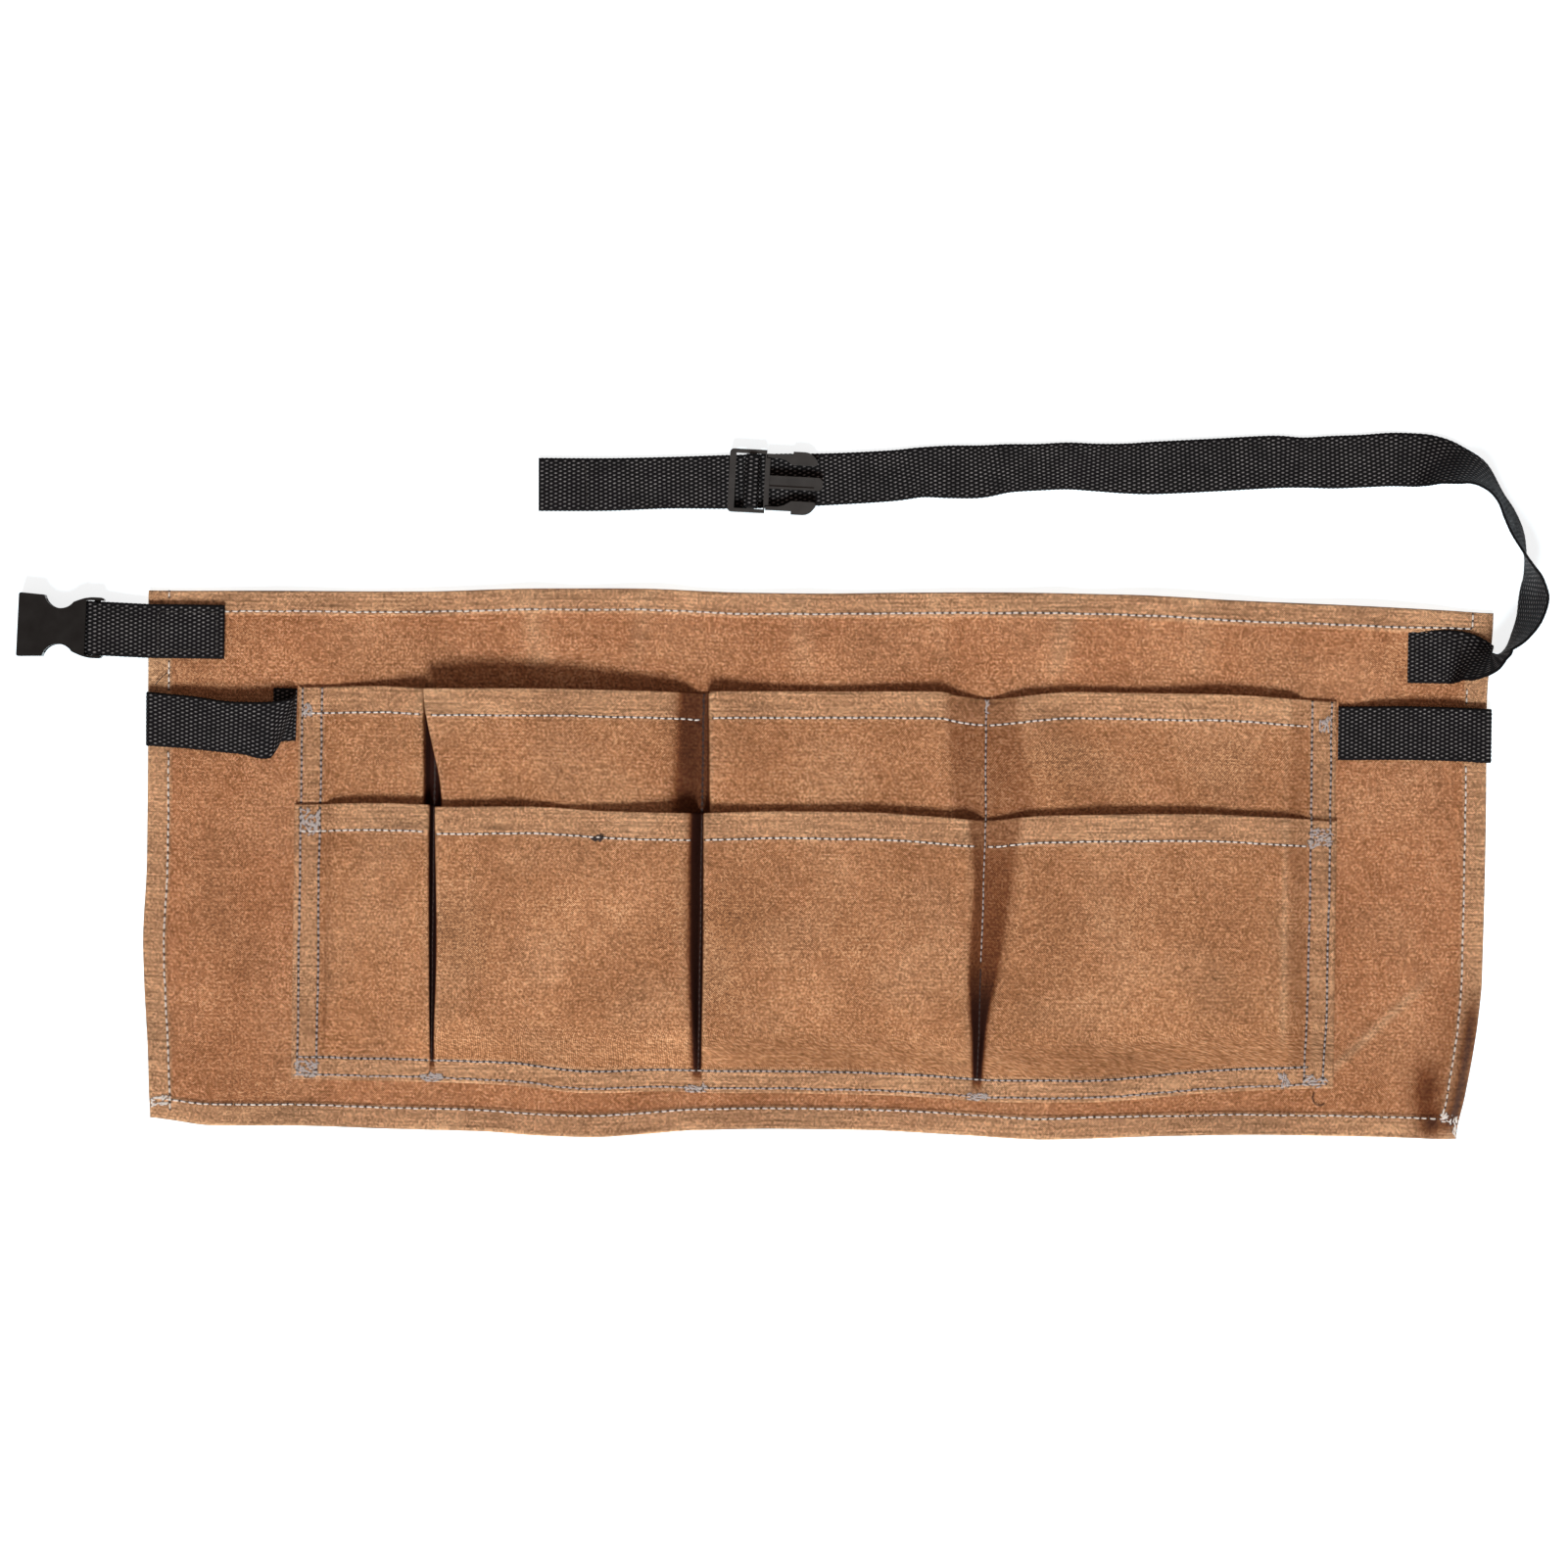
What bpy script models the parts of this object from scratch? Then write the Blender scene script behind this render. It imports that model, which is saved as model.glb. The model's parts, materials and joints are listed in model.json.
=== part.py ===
"""Waxed canvas tool belt: an apron with eight pockets, two tool loops and a webbing waist strap.

The belt lies flat on its back. +X is to the wearer's left, +Y is up the apron, +Z points out of its front.
The origin is the centre of the panel's back face. Everything is in metres.
"""

import math

import bmesh
import bpy
from mathutils import Matrix, Vector

MM = 0.001
GAP = 0.3 * MM

# Apron panel
PANEL_LENGTH = 622 * MM
PANEL_HEIGHT = 246 * MM
CLOTH = 0.9 * MM
PANEL_THICKNESS = 1.0 * MM
HEM_WIDTH = 10 * MM
HEM_THICKNESS = 1.9 * MM
CORNER_PULL = 13 * MM

# Pocket strips
STRIP_LEFT = -242.4 * MM
STRIP_RIGHT = 239.3 * MM
STRIP_BOTTOM = -101.5 * MM
REAR_MOUTH = 81.5 * MM
FRONT_MOUTH = 25.2 * MM
SEAM_ALLOWANCE = 13 * MM
DIVIDERS = (-178.8 * MM, -54.0 * MM, 75.5 * MM)
REAR_FACE_HEIGHT = 12.6 * MM
FRONT_FACE_HEIGHT = 22.6 * MM
CROWN = 1.2 * MM
MOUTH_HEM_REAR = 13.6 * MM
MOUTH_HEM_FRONT = 12.0 * MM

# How far each pocket's front face stays from its seams at the mouth, as (left, right)
FRONT_REACH = (
    (7.0 * MM, 2.4 * MM),
    (2.4 * MM, 4.5 * MM),
    (2.4 * MM, 8.6 * MM),
    (12.5 * MM, 9.0 * MM),
)
REAR_REACH = (
    (10.0 * MM, 2.6 * MM),
    (2.6 * MM, 8.0 * MM),
    (2.6 * MM, 21.5 * MM),
    (21.5 * MM, 10.0 * MM),
)
FRONT_WALL_FOOT = 1.4 * MM
REAR_WALL_FOOT = 3.7 * MM
NARROW_REACH = 2.4 * MM
WALL_SPACING = 3.0 * MM

# Webbing and thread
WEBBING_WIDTH = 24.5 * MM
WEBBING_THICKNESS = 1.3 * MM
THREAD_RADIUS = 0.25 * MM

# Buckle tab on the panel's left edge
TAB_CENTRE_Y = 105.3 * MM
TAB_RIGHT_END = -277.3 * MM
TAB_LEFT_END = -311.9 * MM
TAB_HINGE_X = -313.4 * MM
TAB_HINGE_GAP = 2.2 * MM
TAB_THICKNESS = 2.8 * MM
TAB_YAW = math.radians(-2.0)
SOCKET_BAR_REACH = 23.2 * MM

# Female buckle, measured from its bar
SOCKET_THICKNESS = 9.5 * MM
SOCKET_MOUTH = 36.2 * MM
SOCKET_MOUTH_HALF = 14.8 * MM
SOCKET_NECK_HALF = 14.2 * MM
SOCKET_WINDOW_X = 16.9 * MM
SOCKET_WINDOW_RADIUS = 7.6 * MM
SOCKET_WAIST_HALF = 8.3 * MM
SOCKET_LUG_HALF = 14.1 * MM
SOCKET_RAIL_END = 3.4 * MM
SOCKET_FACE_END = 4.8 * MM
SOCKET_SLOT_HALF = 12.75 * MM
SOCKET_BORE_HALF = 12.6 * MM
SOCKET_BORE_HEIGHT = 6.2 * MM
SOCKET_BORE_END = 10.5 * MM
SOCKET_RAIL_THICKNESS = 6.4 * MM
BAR_RADIUS = 1.5 * MM

# Waist strap: the two upright bends are its hinges
STRAP_ROOT = (319.4 * MM, 105.0 * MM)
STRAP_ROOT_HEADING = math.radians(51)
STRAP_BEND = (314.7 * MM, 176.4 * MM)
STRAP_BEND_HEADING = math.radians(133)
STRAP_HINGE_GAP = 1.3 * MM
PATCH_LEFT = 272 * MM
PATCH_CENTRE_Y = 101.3 * MM
RUN_START = (265.0 * MM, 192.6 * MM)
RUN_END = (-132.6 * MM, 175.5 * MM)
TAIL_HEM = 22.6 * MM

# Male buckle, measured from its centre bar
MALE_CENTRE = (-33.6 * MM, 178.5 * MM)
MALE_YAW = math.radians(-2.2)
MALE_FRAME_LEFT = -10.7 * MM
MALE_FRAME_RIGHT = 6.5 * MM
MALE_FRAME_HALF = 14.7 * MM
MALE_FRAME_THICKNESS = 4.4 * MM
MALE_BAR = 3.0 * MM
MALE_SLOT_HALF = 12.9 * MM
MALE_CENTRE_BAR = 3.4 * MM
MALE_PRONG_TIP = 32.9 * MM
MALE_PRONG_WIDTH = 6.0 * MM
MALE_PRONG_THICKNESS = 2.2 * MM
MALE_RIDGE = 1.0 * MM
ARM_THICKNESS = 3.6 * MM

# Tool loops
LOOP_RISE_LEFT = 12.0 * MM
LOOP_RISE_RIGHT = 9.0 * MM
LEFT_LOOP_Y = 63.2 * MM
RIGHT_LOOP_Y = 66.2 * MM

SEWN_LAYER_1 = PANEL_THICKNESS + GAP
SEWN_LAYER_2 = SEWN_LAYER_1 + CLOTH + GAP
OVER_HEM = HEM_THICKNESS + GAP


# ---------------------------------------------------------------- scene and materials

def clear_scene():
    for obj in list(bpy.data.objects):
        bpy.data.objects.remove(obj)


def new_collection(name, hidden=False):
    collection = bpy.data.collections.new(name)
    collection.hide_render = hidden
    bpy.context.scene.collection.children.link(collection)
    return collection


def make_material(name, colour, roughness, metallic=0.0):
    material = bpy.data.materials.new(name)
    material.use_nodes = True
    shader = material.node_tree.nodes["Principled BSDF"]
    shader.inputs["Base Color"].default_value = (*colour, 1.0)
    shader.inputs["Roughness"].default_value = roughness
    shader.inputs["Metallic"].default_value = metallic
    return material


clear_scene()
PARTS = new_collection("tool_belt")
CUTTERS = new_collection("cutters", hidden=True)
CANVAS = make_material("waxed_canvas", (0.42, 0.19, 0.09), 0.72)
WEBBING = make_material("black_webbing", (0.028, 0.028, 0.028), 0.8)
PLASTIC = make_material("black_plastic", (0.012, 0.012, 0.012), 0.35)
PALE_THREAD = make_material("pale_thread", (0.62, 0.6, 0.6), 0.6)
GREY_THREAD = make_material("grey_thread", (0.2, 0.2, 0.2), 0.6)
BLACK_THREAD = make_material("black_thread", (0.02, 0.02, 0.02), 0.6)


# ---------------------------------------------------------------- building blocks

def smooth(value):
    """An S-shaped step from 0 to 1."""
    value = min(max(value, 0.0), 1.0)
    return value * value * (3 - 2 * value)


def mix(low, high, amount):
    return low + (high - low) * amount


def add_part(name, mesh, material, parent=None):
    obj = bpy.data.objects.new(name, mesh)
    PARTS.objects.link(obj)
    obj.data.materials.clear()
    obj.data.materials.append(material)
    obj.parent = parent
    return obj


def add_helper(name, data, parent=None):
    """A cutter or a guide: it shapes a part and isn't one itself."""
    obj = bpy.data.objects.new(name, data)
    CUTTERS.objects.link(obj)
    obj.parent = parent
    obj.hide_render = True
    obj.display_type = "WIRE"
    return obj


def add_pivot(name, location, parent=None, pitch=0.0, yaw=0.0):
    """An empty on a joint's axis, which carries the pieces that turn about it."""
    pivot = bpy.data.objects.new(name, None)
    PARTS.objects.link(pivot)
    pivot.parent = parent
    pivot.location = location
    pivot.rotation_euler = (0, pitch, yaw)
    bpy.context.view_layer.update()
    return pivot


def mesh_of_curve(curve, location=(0, 0, 0)):
    """The welded mesh of a curve, whose caps are loose until they are welded."""
    temporary = bpy.data.objects.new("temporary", curve)
    PARTS.objects.link(temporary)
    temporary.location = location
    bpy.context.view_layer.update()
    evaluated = temporary.evaluated_get(bpy.context.evaluated_depsgraph_get())
    mesh = bpy.data.meshes.new_from_object(evaluated)
    mesh.transform(temporary.matrix_world)
    bpy.data.objects.remove(temporary)
    bm = bmesh.new()
    bm.from_mesh(mesh)
    bmesh.ops.remove_doubles(bm, verts=bm.verts, dist=1e-6)
    bmesh.ops.recalc_face_normals(bm, faces=bm.faces)
    bm.to_mesh(mesh)
    bm.free()
    return mesh


def add_spline(curve, points, cyclic):
    spline = curve.splines.new("POLY")
    spline.points.add(len(points) - 1)
    for point, position in zip(spline.points, points):
        point.co = (*Vector(position).to_3d(), 1.0)
    spline.use_cyclic_u = cyclic
    return spline


def plate_mesh(outlines, thickness, middle=0.0):
    """A flat outline in XY, given its thickness in Z. Further outlines inside the first are holes."""
    curve = bpy.data.curves.new("outline", "CURVE")
    curve.dimensions = "2D"
    curve.fill_mode = "BOTH"
    curve.extrude = thickness / 2
    for outline in outlines:
        add_spline(curve, outline, cyclic=True)
    return mesh_of_curve(curve, (0, 0, middle))


def side_section_mesh(outlines, width):
    """An outline drawn in XZ and given its width along Y."""
    mesh = plate_mesh(outlines, width)
    mesh.transform(Matrix.Rotation(math.radians(90), 4, "X"))
    return mesh


def box_cutter(name, low, high, parent=None):
    bm = bmesh.new()
    size = [b - a for a, b in zip(low, high)]
    middle = Vector([(a + b) / 2 for a, b in zip(low, high)])
    bmesh.ops.create_cube(bm, size=1.0)
    bmesh.ops.scale(bm, vec=size, verts=bm.verts)
    bmesh.ops.translate(bm, vec=middle, verts=bm.verts)
    mesh = bpy.data.meshes.new(name)
    bm.to_mesh(mesh)
    bm.free()
    return add_helper(name, mesh, parent)


def rod_mesh(radius, length, sides=20):
    """A round rod along Y, centred on the origin."""
    bm = bmesh.new()
    bmesh.ops.create_cone(
        bm, cap_ends=True, segments=sides, radius1=radius, radius2=radius, depth=length
    )
    bmesh.ops.rotate(bm, matrix=Matrix.Rotation(math.radians(90), 3, "X"), verts=bm.verts)
    mesh = bpy.data.meshes.new("rod")
    bm.to_mesh(mesh)
    bm.free()
    return mesh


def add_boolean(obj, other, operation):
    modifier = obj.modifiers.new(other.name, "BOOLEAN")
    modifier.operation = operation
    modifier.object = other
    modifier.solver = "EXACT"


def add_bevel(obj, width, segments=2, angle=40):
    bevel = obj.modifiers.new("edge_radius", "BEVEL")
    bevel.width = width
    bevel.segments = segments
    bevel.limit_method = "ANGLE"
    bevel.angle_limit = math.radians(angle)
    return bevel


def arc(centre, radius, start, end, steps):
    """Points along an arc, with its angles in degrees."""
    angles = [math.radians(mix(start, end, step / steps)) for step in range(steps + 1)]
    return [(centre[0] + radius * math.cos(a), centre[1] + radius * math.sin(a)) for a in angles]


def add_sheet(name, columns, rows, place, material):
    """A sheet of cloth: a grid whose points are put in place, then given the cloth's thickness."""
    bm = bmesh.new()
    bmesh.ops.create_grid(bm, x_segments=columns - 1, y_segments=rows - 1, size=1.0)
    for vert in bm.verts:
        column = round((vert.co.x + 1) / 2 * (columns - 1))
        row = round((vert.co.y + 1) / 2 * (rows - 1))
        vert.co = place(column, row)
    bmesh.ops.recalc_face_normals(bm, faces=bm.faces)
    mesh = bpy.data.meshes.new(name)
    bm.to_mesh(mesh)
    bm.free()
    sheet = add_part(name, mesh, material)
    solidify = sheet.modifiers.new("cloth_thickness", "SOLIDIFY")
    solidify.thickness = CLOTH
    solidify.offset = 0.0
    solidify.use_even_offset = True
    return sheet


def add_thread(name, points, material, parent=None):
    """One row of stitching, as a continuous thread."""
    curve = bpy.data.curves.new(name, "CURVE")
    curve.dimensions = "3D"
    curve.bevel_depth = THREAD_RADIUS
    curve.bevel_resolution = 0
    curve.use_fill_caps = True
    curve.twist_mode = "Z_UP"
    add_spline(curve, points, cyclic=False)
    return add_part(name, mesh_of_curve(curve), material, parent)


def webbing_profile():
    """The webbing's section, as the bevel object of a ribbon's path."""
    half = (WEBBING_WIDTH / 2, WEBBING_THICKNESS / 2)
    curve = bpy.data.curves.new("webbing_profile", "CURVE")
    curve.dimensions = "2D"
    corners = [
        (-half[0], -half[1]),
        (half[0], -half[1]),
        (half[0], half[1]),
        (-half[0], half[1]),
    ]
    add_spline(curve, corners, cyclic=True)
    return add_helper("webbing_profile", curve)


def add_ribbon(name, stations, profile, material, parent=None):
    """Webbing along stations of (position, roll).

    Roll 0 lies flat, 90 stands on edge, 180 shows its other face.
    """
    curve = bpy.data.curves.new(name, "CURVE")
    curve.dimensions = "3D"
    curve.twist_mode = "Z_UP"
    curve.bevel_mode = "OBJECT"
    curve.bevel_object = profile
    curve.use_fill_caps = True
    spline = add_spline(curve, [position for position, roll in stations], cyclic=False)
    for point, (position, roll) in zip(spline.points, stations):
        point.tilt = -math.radians(roll)
    mesh = mesh_of_curve(curve)
    if parent:
        mesh.transform(parent.matrix_world.inverted())
    return add_part(name, mesh, material, parent)


def strap_height(roll):
    """The height of the webbing's centre above the rest plane when it is rolled this many degrees."""
    upright = WEBBING_WIDTH / 2 * abs(math.sin(math.radians(roll)))
    flat = WEBBING_THICKNESS / 2 * abs(math.cos(math.radians(roll)))
    return GAP + upright + flat


def smooth_path(knots, steps):
    """A Catmull-Rom path through knots of (x, y, roll), with end tangents along the first and last legs."""
    points = [Vector(knot) for knot in knots]
    padded = [2 * points[0] - points[1], *points, 2 * points[-1] - points[-2]]
    path = []
    for before, start, end, after in zip(padded, padded[1:], padded[2:], padded[3:]):
        for step in range(steps):
            t = step / steps
            path.append(0.5 * (
                2 * start + (end - before) * t
                + (2 * before - 5 * start + 4 * end - after) * t ** 2
                + (3 * start - before - 3 * end + after) * t ** 3
            ))
    path.append(points[-1])
    return path


# ---------------------------------------------------------------- apron panel

def right_edge_inset(y):
    """The panel's right side is drawn in towards its bottom corner."""
    return CORNER_PULL * max(0.0, (0.06 - y) / 0.183) ** 2.4


def panel_outline(inset):
    """The panel's edge, moved inwards by inset, anticlockwise from the bottom left corner."""
    left = -PANEL_LENGTH / 2 + inset
    right = PANEL_LENGTH / 2 - inset
    half = PANEL_HEIGHT / 2 - inset
    steps = 8
    rising = [mix(-half, half, step / steps) for step in range(steps + 1)]
    return [(left, -half)] + [(right - right_edge_inset(y), y) for y in rising] + [(left, half)]


def build_panel():
    plate = plate_mesh([panel_outline(0)], HEM_THICKNESS, HEM_THICKNESS / 2)
    panel = add_part("back_panel", plate, CANVAS)
    depth = HEM_THICKNESS - PANEL_THICKNESS
    middle = PANEL_THICKNESS + depth
    inside = plate_mesh([panel_outline(HEM_WIDTH)], 2 * depth, middle)
    recess = add_helper("panel_recess", inside)
    add_boolean(panel, recess, "DIFFERENCE")


def panel_hem_rows():
    """The four rows of stitching that hold the panel's hems."""
    inset = 8.6 * MM
    height = OVER_HEM + THREAD_RADIUS
    left = -PANEL_LENGTH / 2 + inset
    right = PANEL_LENGTH / 2 - inset
    half = PANEL_HEIGHT / 2 - inset
    margin = 2 * MM
    top_left = TAB_RIGHT_END + margin
    top_right = PATCH_LEFT - margin
    side_top = RIGHT_LOOP_Y - WEBBING_WIDTH / 2 - margin
    left_top = LEFT_LOOP_Y - WEBBING_WIDTH / 2 - margin
    steps = 6
    fall = [mix(side_top, margin - half, step / steps) for step in range(steps + 1)]
    right_edge = [(right - right_edge_inset(y), y, height) for y in fall]
    bottom_right = right - right_edge_inset(-half) - margin
    top_edge = [(top_left, half, height), (top_right, half, height)]
    bottom_edge = [(left, -half, height), (bottom_right, -half, height)]
    left_edge = [(left, left_top, height), (left, margin - half, height)]
    add_thread("panel_top_hem_stitching", top_edge, PALE_THREAD)
    add_thread("panel_bottom_hem_stitching", bottom_edge, PALE_THREAD)
    add_thread("panel_left_hem_stitching", left_edge, PALE_THREAD)
    add_thread("panel_right_hem_stitching", right_edge, PALE_THREAD)


# ---------------------------------------------------------------- pocket strips

def seam_lines():
    return [STRIP_LEFT + SEAM_ALLOWANCE, *DIVIDERS, STRIP_RIGHT - SEAM_ALLOWANCE]


def front_wall(reach, y):
    """The foot and the shoulder of a front pocket's side wall, as distances from its seam."""
    up = (y - STRIP_BOTTOM - SEAM_ALLOWANCE) / (FRONT_MOUTH - STRIP_BOTTOM - SEAM_ALLOWANCE)
    shoulder = mix(NARROW_REACH, reach, min(max(up, 0.0), 1.0))
    return FRONT_WALL_FOOT, shoulder


def rear_wall(front_reach, rear_reach, y):
    """The same for a rear pocket, whose wall stands clear behind the front pocket's."""
    foot, shoulder = front_wall(front_reach, y)
    clear_of_mouth = FRONT_MOUTH + 2 * MM
    up = smooth((y - clear_of_mouth) / (REAR_MOUTH - clear_of_mouth))
    return mix(REAR_WALL_FOOT, foot, up), mix(shoulder + WALL_SPACING, rear_reach, up)


def section(y, walls, sewn_height, face_height):
    """The strip's section at this height up the apron: points of (x, z) on the cloth's middle surface."""
    seams = seam_lines()
    rise = smooth((y - STRIP_BOTTOM - SEAM_ALLOWANCE) / (45 * MM)) ** 0.6
    face = mix(sewn_height, face_height, rise)
    points = [(STRIP_LEFT, sewn_height)]
    for pocket, (left, right) in enumerate(zip(seams, seams[1:])):
        left_foot, left_shoulder = walls(pocket, 0, y)
        right_foot, right_shoulder = walls(pocket, 1, y)
        start = left + left_shoulder
        end = right - right_shoulder
        points.append((left + left_foot, sewn_height))
        points.append((start, face))
        points.append(((start + end) / 2, face + CROWN * rise))
        points.append((end, face))
        points.append((right - right_foot, sewn_height))
    points.append((STRIP_RIGHT, sewn_height))
    return points


def front_section(y):
    def walls(pocket, side, height):
        return front_wall(FRONT_REACH[pocket][side], height)
    return section(y, walls, SEWN_LAYER_2 + CLOTH / 2, FRONT_FACE_HEIGHT)


def rear_section(y):
    def walls(pocket, side, height):
        return rear_wall(FRONT_REACH[pocket][side], REAR_REACH[pocket][side], height)
    return section(y, walls, SEWN_LAYER_1 + CLOTH / 2, REAR_FACE_HEIGHT)


def strip_rows(mouth):
    seam_top = STRIP_BOTTOM + SEAM_ALLOWANCE
    rows = [STRIP_BOTTOM, seam_top]
    rows += [seam_top + rise * MM for rise in (5, 12, 24, 45)]
    if mouth > FRONT_MOUTH:
        rows += [FRONT_MOUTH + 2 * MM, mix(FRONT_MOUTH, mouth, 0.5)]
    return rows + [mouth]


def build_strip(name, section_at, mouth):
    rows = strip_rows(mouth)
    sections = [section_at(y) for y in rows]

    def place(column, row):
        x, z = sections[row][column]
        return Vector((x, rows[row], z))

    return add_sheet(name, len(sections[0]), len(rows), place, CANVAS)


def mouth_rows(name, section_at, y):
    """Hem stitching across each pocket's face, just below its mouth."""
    points = section_at(y)
    lift = CLOTH / 2 + GAP + THREAD_RADIUS
    margin = 1.5 * MM
    for pocket in range(4):
        start, middle, end = points[2 + 5 * pocket:5 + 5 * pocket]
        row = [(start[0] + margin, start[1]), middle, (end[0] - margin, end[1])]
        path = [(x, y, z + lift) for x, z in row]
        add_thread(f"{name}_{pocket + 1}", path, PALE_THREAD)


def stepped_row(x, bottom):
    """A row of stitching up the strips, stepping down to the rear strip above the front mouth."""
    over_front = SEWN_LAYER_2 + CLOTH + GAP + THREAD_RADIUS
    over_rear = SEWN_LAYER_1 + CLOTH + GAP + THREAD_RADIUS
    step = FRONT_MOUTH + 2 * THREAD_RADIUS + GAP
    return [
        (x, bottom, over_front),
        (x, step, over_front),
        (x, step + 1 * MM, over_rear),
        (x, REAR_MOUTH, over_rear),
    ]


def side_and_bottom_rows():
    outer = 2.4 * MM
    inner = 11.3 * MM
    height = SEWN_LAYER_2 + CLOTH + GAP + THREAD_RADIUS
    lower = STRIP_BOTTOM + outer
    upper = STRIP_BOTTOM + inner
    clear = 1 * MM
    sides = {
        "left_side_outer_stitching": STRIP_LEFT + outer,
        "left_side_inner_stitching": STRIP_LEFT + inner,
        "right_side_outer_stitching": STRIP_RIGHT - outer,
        "right_side_inner_stitching": STRIP_RIGHT - inner,
    }
    for name, x in sides.items():
        add_thread(name, stepped_row(x, upper + clear), GREY_THREAD)
    for name, y in (("bottom_lower_stitching", lower), ("bottom_upper_stitching", upper)):
        ends = [(STRIP_LEFT + outer, y, height), (STRIP_RIGHT - outer, y, height)]
        add_thread(name, ends, GREY_THREAD)
    for number, x in enumerate(DIVIDERS):
        add_thread(f"divider_stitching_{number + 1}", stepped_row(x, upper + clear), GREY_THREAD)


# ---------------------------------------------------------------- tool loops

def add_tool_loop(name, left, right, y, rise, profile):
    """A webbing loop sewn down at both ends, which arches over the panel between them."""
    base = OVER_HEM + WEBBING_THICKNESS / 2
    flat = 11 * MM
    stations = [((left, y, base), 0)]
    steps = 10
    for step in range(steps + 1):
        x = mix(left + flat, right - flat, step / steps)
        bow = 0.5 - 0.5 * math.cos(2 * math.pi * step / steps)
        stations.append(((x, y, base + rise * bow), 0))
    stations.append(((right, y, base), 0))
    return add_ribbon(name, stations, profile, WEBBING)


# ---------------------------------------------------------------- buckle tab and female buckle

def rounded_box_outline(low, high, radius, steps=4):
    """A rectangle with round corners, anticlockwise."""
    (x0, y0), (x1, y1) = low, high
    return (
        arc((x1 - radius, y0 + radius), radius, -90, 0, steps)
        + arc((x1 - radius, y1 - radius), radius, 0, 90, steps)
        + arc((x0 + radius, y1 - radius), radius, 90, 180, steps)
        + arc((x0 + radius, y0 + radius), radius, 180, 270, steps)
    )


def add_tab_sewn_end():
    middle = OVER_HEM + TAB_THICKNESS / 2
    low = (TAB_LEFT_END, TAB_CENTRE_Y - WEBBING_WIDTH / 2)
    high = (TAB_RIGHT_END, TAB_CENTRE_Y + WEBBING_WIDTH / 2)
    mesh = plate_mesh([rounded_box_outline(low, high, 0.6 * MM, 2)], TAB_THICKNESS, middle)
    return add_part("buckle_tab_sewn_end", mesh, WEBBING)


def add_tab_loop(pivot):
    """The doubled webbing from the tab's hinge round the buckle's bar. Drawn in XZ from the hinge."""
    inner = BAR_RADIUS + 0.4 * MM
    outer = inner + WEBBING_THICKNESS
    bar = (-SOCKET_BAR_REACH, 0.0)
    end = -TAB_HINGE_GAP
    neck = bar[0] + 9 * MM
    half = TAB_THICKNESS / 2
    outline = [(end, -half), (end, half), (neck, half)]
    outline += arc(bar, outer, 75, 285, 14)
    outline.append((neck, -half))
    slit = neck - 3 * MM
    hole = arc(bar, inner, 60, 300, 12) + [(slit, -0.15 * MM), (slit, 0.15 * MM)]
    mesh = side_section_mesh([outline, hole], WEBBING_WIDTH)
    return add_part("buckle_tab_loop", mesh, WEBBING, pivot)


def socket_edge():
    """The upper edge of the female buckle, from its mouth to the end of its rail, measured from the bar."""
    depth = SOCKET_NECK_HALF - SOCKET_WAIST_HALF
    centre = (-SOCKET_WINDOW_X, SOCKET_WAIST_HALF + SOCKET_WINDOW_RADIUS)
    lift = math.degrees(math.asin((SOCKET_WINDOW_RADIUS - depth) / SOCKET_WINDOW_RADIUS))
    mouth = arc((-SOCKET_MOUTH + 0.8 * MM, SOCKET_MOUTH_HALF - 0.8 * MM), 0.8 * MM, 180, 90, 2)
    window = arc(centre, SOCKET_WINDOW_RADIUS, 180 + lift, 325, 12)
    lug_start = window[-1]
    lug = []
    for step in range(1, 7):
        along = step / 6
        x = mix(lug_start[0], -1.5 * MM, along)
        lug.append((x, mix(lug_start[1], SOCKET_LUG_HALF, math.sin(along * math.pi / 2))))
    rail = arc((SOCKET_RAIL_END - 1.6 * MM, SOCKET_LUG_HALF - 1.6 * MM), 1.6 * MM, 90, 0, 3)
    return mouth + window + lug + rail


def add_socket(pivot):
    """The female half of the buckle: a hollow mouth with side windows, a webbing slot and its bar."""
    upper = socket_edge()
    lower = [(x, -y) for x, y in reversed(upper)]
    body = plate_mesh([upper + lower], SOCKET_THICKNESS)
    socket = add_part("buckle_socket", body, PLASTIC, pivot)
    add_bevel(socket, 0.7 * MM, 2, 60)
    past = 2 * MM
    half_bore = SOCKET_BORE_HEIGHT / 2
    half_rail = SOCKET_RAIL_THICKNESS / 2
    half_depth = SOCKET_THICKNESS / 2 + past
    wide = SOCKET_LUG_HALF + past
    slot_end = SOCKET_RAIL_END + past
    cuts = {
        "socket_bore": (
            (-SOCKET_MOUTH - past, -SOCKET_BORE_HALF, -half_bore),
            (-SOCKET_BORE_END, SOCKET_BORE_HALF, half_bore),
        ),
        "socket_slot": (
            (-SOCKET_FACE_END, -SOCKET_SLOT_HALF, -half_depth),
            (slot_end, SOCKET_SLOT_HALF, half_depth),
        ),
        "socket_top_step": (
            (-SOCKET_FACE_END, -wide, half_rail),
            (slot_end, wide, half_depth),
        ),
        "socket_bottom_step": (
            (-SOCKET_FACE_END, -wide, -half_depth),
            (slot_end, wide, -half_rail),
        ),
    }
    for name, (low, high) in cuts.items():
        add_boolean(socket, box_cutter(name, low, high, pivot), "DIFFERENCE")
    bar = add_helper("socket_bar", rod_mesh(BAR_RADIUS, 2 * SOCKET_SLOT_HALF + 1 * MM), pivot)
    add_boolean(socket, bar, "UNION")
    return socket


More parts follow.
